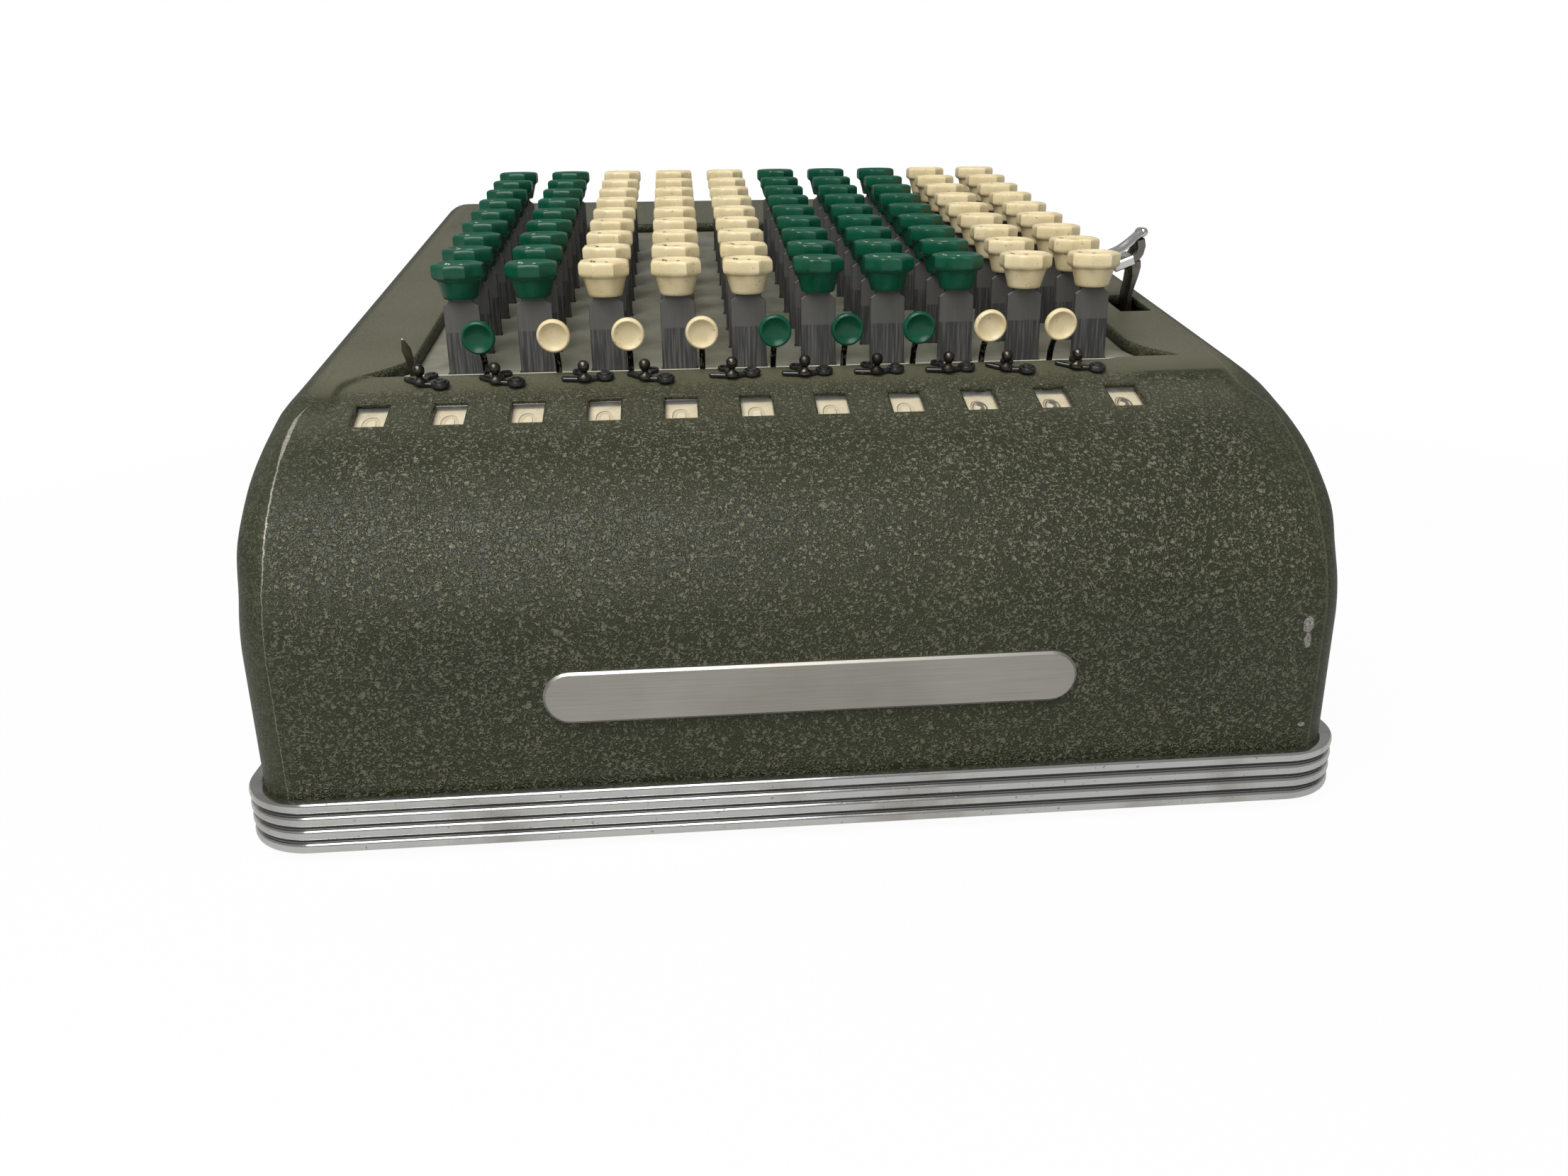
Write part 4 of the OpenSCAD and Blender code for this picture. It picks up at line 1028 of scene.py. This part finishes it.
# Decimal pointers.
# Ten black swivel levers between the windows: an eyelet on a pin, then a cranked arm with a round button to
# the right and a short tail to the left. A waisted post with a turned steel ball stands where they meet.
POINTER_ARC = 1.318
POINTER_SIDE = 11.75
POINTER_L, POINTER_ARM, POINTER_T = 6.2, 5.5, 0.9
TAIL_AT = (-4.75, -4.1)
POINTER_TURN = 16.0
TURNED_LEFT = (2, 4, 5, 6, 7)
PANEL_GAP = 0.1
pointer_black = Finish("pointer_black")
pointer_worn = pointer_black.noise(520, 4, 0.5).span(0.58, 0.74)
pointer_black.surface({
    "Base Color": pointer_worn.blend((22, 22, 21), (84, 81, 72)),
    "Metallic": 0.4 * pointer_worn,
    "Roughness": 0.3 + 0.25 * pointer_worn,
    "Coat Weight": 0.3 - 0.3 * pointer_worn,
    "Normal": pointer_black.noise(800, 3).bump(0.03)})
pointer_ball = steel_finish("pointer_ball", (86, 83, 76), (52, 50, 46), 0.2, (1500, 1500, 300))
pointer_spot = Vector((0, *panel_mid)) + Vector((0, *leaning(POINTER_ARC))) * (PANEL_R + PANEL_GAP)


def bar(a, b, r_a, r_b):
    """A flat bar's outline between two round ends."""
    way = degrees(atan2(b[1] - a[1], b[0] - a[0]))
    return arc(b, r_b, way - 90, way + 90, 10) + arc(a, r_a, way + 90, way + 270, 10)


BALL_AT, BUTTON_AT = (0.0, -POINTER_L), (POINTER_ARM, -POINTER_L)
POST = [
    (1.9, 0.7), (1.8, 1.15), (1.3, 1.4), (0.92, 1.75), (0.76, 2.1), (0.78, 2.4), (1.0, 2.65), (1.28, 3.0),
    (1.45, 3.5), (1.5, 4.0), (1.42, 4.5), (1.15, 4.97), (0.75, 5.3), (0.3, 5.47)]
EYELET = [
    (1.1, 0.05), (1.5, 0.0), (1.75, 0.15), (1.8, 0.45), (1.7, 0.8), (1.45, POINTER_T), (1.2, 0.85),
    (1.08, 0.6), (1.04, 0.3)]
BUTTON = [
    (1.0, 0.05), (2.1, 0.05), (2.3, 0.25), (2.3, 1.05), (2.15, 1.3), (1.8, 1.38), (1.62, 1.25), (1.5, 1.3),
    (1.44, 1.68), (1.25, 1.8), (0.85, 1.76), (0.6, 1.55), (0.2, 1.5)]
PIN = [(1.0, -2.4), (1.0, 0.25), (0.85, 0.4), (0.3, 0.45)]
BAR_EASE = 0.18

# The lever's flat bars: both ends, their radii, and the levels of the bar's two faces
BARS = [
    ((0, -1.5), BALL_AT, 0.6, 1.0, 0.02, POINTER_T - 0.06),
    (BALL_AT, BUTTON_AT, 1.1, 0.6, 0.0, POINTER_T),
    (BALL_AT, TAIL_AT, 0.9, 0.85, 0.04, POINTER_T + 0.04)]
for i in range(COLUMNS):
    body = f"decimal_pointer_{i + 1:02d}"
    turn = POINTER_TURN if i in TURNED_LEFT else -POINTER_TURN
    spot = (window_x(i) + POINTER_SIDE, pointer_spot.y, pointer_spot.z)
    seat = turned_to(spot, degrees(SLOPE) + POINTER_ARC, "X") @ turned_to((0, 0, 0), turn, "Z")
    lever, post = Shape(), Shape()
    lever.turned(EYELET + EYELET[:1], seat, 28)
    lever.turned(PIN, seat, 20)
    for *ends, low, high in BARS:
        lever.slab(bar(*ends), low, high, seat, BAR_EASE)
    lever.turned(BUTTON, seat @ Matrix.Translation((*BUTTON_AT, 0)), 32)
    post.turned(POST, seat @ Matrix.Translation((*BALL_AT, 0)), 28)
    lever.piece(f"pointer_{i + 1:02d}", pointer_black, body, "pointer_black", [body])
    post.piece(f"pointer_post_{i + 1:02d}", pointer_ball, body, "pointer_black")

# Clearing lever.
# A chromium-plated lever: a thick curved finger plate with a rolled rim, on a bracket curled under it.
# Its flat arm is cranked sideways and comes up through a slot in the right shoulder from a low pivot.
CLEAR_X, CLEAR_V = 115.0, 44.0
CLEAR_PIVOT_W = -80.0
PADDLE_V, PADDLE_T, PADDLE_L = 44.5, 2.2, 7.0
PADDLE_TAPER, TAPER_STEPS = 0.28, 4
LINE_V = 41
PADDLE_LINE = [
    (101.5, -11.6), (104.3, -11.1), (107.3, -10.3), (109.9, -9.3), (112.2, -7.8), (114.3, -6.0),
    (115.8, -4.6), (117.0, -3.7)]
PADDLE_UP = Vector((0, 0.05, 1))
BRACKET_L, BRACKET_T = 6.0, 3.0
ARM_T, ARM_L, BLOCK_L = 3.0, 7.0, 7.2
PADDLE_CUT, BRACKET_CUT, ARM_CUT = 0.6, 0.5, 0.4
chrome = Finish("lever_chrome")
chrome_haze = chrome.noise(160, 5, 0.6).span(0.45, 0.75)
chrome_hair = chrome.streaks((1400, 120, 1400), 2, 0.1)
chrome.surface({
    "Base Color": chrome_haze.blend((226, 225, 222), (186, 184, 178)),
    "Metallic": 1.0,
    "Roughness": 0.1 + 0.14 * chrome_haze + 0.05 * chrome_hair,
    "Normal": chrome_hair.bump(0.006)})
slope_back = on_slope(0, 1, 0) - on_slope(0, 0, 0)


def eased(half_a, half_b, cut):
    """A rectangle's section with its corners cut."""
    return [
        (-half_a, -half_b + cut), (-half_a + cut, -half_b), (half_a - cut, -half_b), (half_a, -half_b + cut),
        (half_a, half_b - cut), (half_a - cut, half_b), (-half_a + cut, half_b), (-half_a, half_b - cut)]


clearing = Shape()
plate_path, plate_scale = [], []
PLATE_PARTS = 4
drop = (PADDLE_V - LINE_V) * sin(SLOPE)
plate_steps = (len(PADDLE_LINE) - 1) * PLATE_PARTS
for k in range(plate_steps + 1):
    at, share = divmod(k / PLATE_PARTS, 1)
    corners = [PADDLE_LINE[min(len(PADDLE_LINE) - 1, max(0, int(at) + step))] for step in (-1, 0, 1, 2)]
    weights = (
        -share / 2 + share ** 2 - share ** 3 / 2, 1 - 2.5 * share ** 2 + 1.5 * share ** 3,
        share / 2 + 2 * share ** 2 - 1.5 * share ** 3, -share ** 2 / 2 + share ** 3 / 2)
    x, w = [sum(weight * corner[axis] for weight, corner in zip(weights, corners)) for axis in (0, 1)]
    plate_path.append(on_slope(x, PADDLE_V, w - drop))
    end = min(k, plate_steps - k)
    off_end = 1 - min(1, end / TAPER_STEPS)
    plate_scale.append((1 - PADDLE_TAPER * (1 - sqrt(1 - off_end ** 2)), 1.0 if end else 0.6))
clearing.swept(plate_path, eased(PADDLE_L / 2, PADDLE_T / 2, PADDLE_CUT), PADDLE_UP, plate_scale)
RIM_HALF = PADDLE_L / 2 - 1.6
clearing.turned([
    (0.5, -RIM_HALF - 1.0), (1.1, -RIM_HALF - 0.6), (1.4, -RIM_HALF), (1.45, 0), (1.4, RIM_HALF),
    (1.1, RIM_HALF + 0.6), (0.5, RIM_HALF + 1.0)], turned_to(plate_path[-2], -90, "X"), 24)


def lever_path(*route):
    """Points of the lever's middle plane, across and square to the slope."""
    return [on_slope(x, CLEAR_V, w) for x, w in route]


carrier = Shape()
bracket = lever_path(
    (115.6, -6.2), (116.2, -8.2), (115.9, -10.2), (114.8, -12), (113.2, -13.2), (110.5, -13.8))
carrier.swept(bracket, eased(BRACKET_T / 2, BRACKET_L / 2, BRACKET_CUT), slope_back)
block = lever_path((108.5, -14.4), (110, -13.8), (112.5, -12.9), (114.2, -12.2))
clearing.swept(block, eased(ARM_T / 2, BLOCK_L / 2, ARM_CUT), slope_back)
arm = lever_path(
    (115, -75), (115, -40), (115, -30), (114.8, -26.5), (114.4, -23.5), (114.9, -20), (115.3, -17),
    (115.2, -14.5), (114.8, -12.8))
arm_scale = [(grow, 1) for grow in (1, 1, 0.8, 0.6, 0.55, 0.6, 0.8, 1.1, 1.2)]
carrier.swept(arm, eased(ARM_T / 2, ARM_L / 2, ARM_CUT), slope_back, arm_scale)
hub = [(3.1, -1.5), (6.8, -1.5), (7.0, -1.3), (7.0, 1.3), (6.8, 1.5), (3.1, 1.5), (3.1, -1.5)]
carrier.turned(hub, turned_to(on_slope(CLEAR_X, CLEAR_V, CLEAR_PIVOT_W), 90, "Y"), 40)
clearing.piece("clearing_lever", chrome, "clear_lever", "lever_chrome", ["clear_lever"])
carrier_steel = steel_finish("carrier_steel", (128, 126, 120), (74, 72, 66), 0.16, (1500, 1500, 160))
carrier.piece("clearing_carrier", carrier_steel, "clear_lever", "lever_chrome")

# Blank badge bar.
# A plain brushed bar of sheet metal with rounded ends and a bevelled edge, pinned to the front panel.
BADGE_W, BADGE_H, BADGE_T = 124.0, 12.5, 1.6
BADGE_X, BADGE_Z = 0.6, 36.7
BADGE_STEPS = 12
BADGE_PROFILE = [(-0.4, 0.0), (BADGE_T - 0.5, 0.0), (BADGE_T, 0.6)]
badge_metal = Finish("badge_metal")
badge_lines = badge_metal.streaks((50, 2600, 2600), 4)
badge_dull = badge_metal.noise(30, 4, 0.3).span(0.3, 0.8)
badge_dark = 0.5 * badge_lines + 0.4 * badge_dull
badge_metal.surface({
    "Base Color": badge_dark.blend((184, 182, 174), (136, 133, 122)),
    "Metallic": 1.0,
    "Roughness": 0.36 + 0.16 * badge_lines,
    "Normal": badge_lines.bump(0.015)})
badge_rows = []
for height, shrink in BADGE_PROFILE:
    row = []
    half_h, half_w = BADGE_H / 2 - shrink, BADGE_W / 2 - shrink
    ends = arc((half_w - half_h, 0), half_h, -90, 90, BADGE_STEPS)
    ends += arc((-half_w + half_h, 0), half_h, 90, 270, BADGE_STEPS)
    for a, b in ends:
        row.append(Vector((BADGE_X + a, -HALF_D + PANEL_SINK - height, BADGE_Z + b)))
    badge_rows.append(row)
badge = Shape()
badge.sheet(badge_rows)
badge.piece("badge_bar", badge_metal, "machine", "trim_chrome")

# Base trim.
# A rolled band of chromium-plated brass round the foot of the casing: four ribs under a turned-in top lip.
# It is one strip, sprung round the corners, so a dark gap shows where the casing's corner is rounder.
TRIM_OUT, TRIM_H, TRIM_LOW = 4.0, 12.7, 2.5
TRIM_GAP, TRIM_CORNER = 0.2, 13.0
RIBS, GROOVE_H, GROOVE_IN = 4, 0.9, 0.9
RIB_STEPS, TRIM_STEPS = 8, 14
GROOVE_DARK, GROOVE_PALE = 0.25 * METRE, 0.55 * METRE
rib_h = (TRIM_H - (RIBS - 1) * GROOVE_H) / RIBS
trim_top = TRIM_LOW + TRIM_H
profile = [(TRIM_GAP, TRIM_LOW + 0.1)]
for k in range(RIBS):
    low = TRIM_LOW + k * (rib_h + GROOVE_H)
    for step in range(RIB_STEPS + 1):
        turn = radians(-90 + 180 * step / RIB_STEPS)
        bulge = GROOVE_IN * abs(cos(turn)) ** 0.5
        profile.append((TRIM_OUT - GROOVE_IN + bulge, low + rib_h / 2 + rib_h / 2 * sin(turn)))
profile += [
    (TRIM_OUT - 1.6, trim_top + 0.05), (TRIM_OUT - 2.6, trim_top - 0.1), (TRIM_GAP + 0.3, trim_top - 0.5),
    (TRIM_GAP, trim_top - 0.9)]
trim_rows = []
for cx, cy, start in ((1, -1, -90), (1, 1, 0), (-1, 1, 90), (-1, -1, 180)):
    mid = Vector((cx * (HALF_W - TRIM_CORNER), cy * (HALF_D - TRIM_CORNER), 0))
    for k in range(TRIM_STEPS + 1):
        turn = radians(start + 90 * k / TRIM_STEPS)
        ray = Vector((cos(turn), sin(turn), 0))
        trim_rows.append([mid + ray * (TRIM_CORNER + out) + Vector((0, 0, z)) for out, z in profile])
trim_rows.append(trim_rows[0])
trim = Shape()
trim.sheet(trim_rows, cap=False)
trim_chrome = Finish("trim_chrome")
trim_haze = trim_chrome.noise(45, 5, 0.6).span(0.4, 0.75)
trim_pits = trim_chrome.noise(900, 3).span(0.66, 0.74)
trim_z = trim_chrome.axis(2)
# Painted shade in the grooves between the ribs: darker, rougher and less metallic there.
groove_shade = 0
for k in range(RIBS - 1):
    groove_z = TRIM_LOW + rib_h + GROOVE_H / 2 + k * (rib_h + GROOVE_H)
    groove_shade = groove_shade + (1 - abs(trim_z - groove_z * METRE).span(GROOVE_DARK, GROOVE_PALE))
trim_clean = trim_haze.blend((208, 208, 206), (176, 174, 168))
trim_spotted = (trim_pits * 0.6).blend(trim_clean, (110, 100, 84))
trim_chrome.surface({
    "Base Color": groove_shade.blend(trim_spotted, (44, 43, 40)),
    "Metallic": 1 - 0.8 * groove_shade,
    "Roughness": 0.12 + 0.16 * trim_haze + 0.25 * trim_pits + 0.4 * groove_shade,
    "Normal": trim_chrome.noise(120, 3).bump(0.02)})
trim.piece("base_band", trim_chrome, "machine", "trim_chrome", ["base_trim"])

# Studio: a pale floor, soft light from above and the front, and a camera at the photograph's angle.
# Rays that go straight to the camera see the floor and the room nearer to white.
FLOOR_REACH = 3.0
FLOOR_WHITE, FLOOR_GLOW, FLOOR_FADE = 0.93, 1.03, (0.25, 0.9)
MIRRORED_WHITE, ROOM_LEVEL = 0.25, 0.3
corners = [(x * FLOOR_REACH, y * FLOOR_REACH, 0) for x, y in ((-1, -1), (1, -1), (1, 1), (-1, 1))]
floor_mesh = bpy.data.meshes.new("floor")
floor_mesh.from_pydata(corners, [], [(0, 1, 2, 3)])
floor = bpy.data.objects.new("floor", floor_mesh)
scene.collection.objects.link(floor)
paper = Finish("floor_paper")
paper_mirrored = paper.node("LightPath", out="Is Glossy Ray")
paper_seen = paper.node("LightPath", out="Is Camera Ray") + MIRRORED_WHITE * paper_mirrored
paper_off = paper.node("VectorMath", {"operation": "LENGTH"}, {0: paper.place}, "Value")
paper_whole = FLOOR_WHITE + (1 - FLOOR_WHITE) * paper_off.span(*FLOOR_FADE)
paper_white = paper.node("Emission", {}, {"Color": (1, 1, 1, 1), "Strength": FLOOR_GLOW})
paper.surface({"Base Color": srgb(176, 176, 174), "Roughness": 0.8})
paper_mix = paper.node("MixShader", {}, {
    0: paper_whole * paper_seen, 1: Val(paper, paper.shader.outputs[0]), 2: paper_white})
paper.fill(paper.tree.nodes["Material Output"], {"Surface": paper_mix})
floor_mesh.materials.append(paper.data)

room = Finish("studio", bpy.data.worlds, "Background")
room_seen = room.node("LightPath", out="Is Camera Ray")
room_level = room.node("MapRange", {}, {"Value": room_seen, "To Min": ROOM_LEVEL})
room.surface({"Color": (1, 1, 1, 1), "Strength": room_level})
scene.world = room.data


def softbox(name, place, target, size, power):
    lamp = bpy.data.lights.new(name, "AREA")
    lamp.shape, lamp.size, lamp.size_y, lamp.energy = "RECTANGLE", *size, power
    made = bpy.data.objects.new(name, lamp)
    made.location = place
    made.rotation_euler = (Vector(target) - Vector(place)).to_track_quat("-Z", "Y").to_euler()
    scene.collection.objects.link(made)


softbox("top_softbox", (-0.35, -0.6, 1.2), (0, 0, 0.1), (1.0, 0.7), 15)
softbox("front_softbox", (-0.3, -1.3, 0.85), (0, 0, 0.1), (0.8, 0.8), 8)

PHOTO_W = 2212
FOCAL_PIXELS = 1650
CAMERA_AT = Vector((-26.28, -408.54, 144.25)) * METRE
YAW, PITCH, ROLL = radians(4.655), radians(-18.526), radians(-0.804)
camera_data = bpy.data.cameras.new("photo_view")
camera_data.sensor_width = 36.0
camera_data.lens = FOCAL_PIXELS * camera_data.sensor_width / PHOTO_W
camera_data.clip_start = 0.01
camera = bpy.data.objects.new("photo_view", camera_data)
camera.location = CAMERA_AT
aim = Vector((sin(YAW) * cos(PITCH), cos(YAW) * cos(PITCH), sin(PITCH)))
camera.rotation_mode = "QUATERNION"
camera.rotation_quaternion = aim.to_track_quat("-Z", "Y") @ Matrix.Rotation(ROLL, 4, "Z").to_quaternion()
scene.collection.objects.link(camera)
scene.camera = camera
scene.view_settings.view_transform = "Standard"
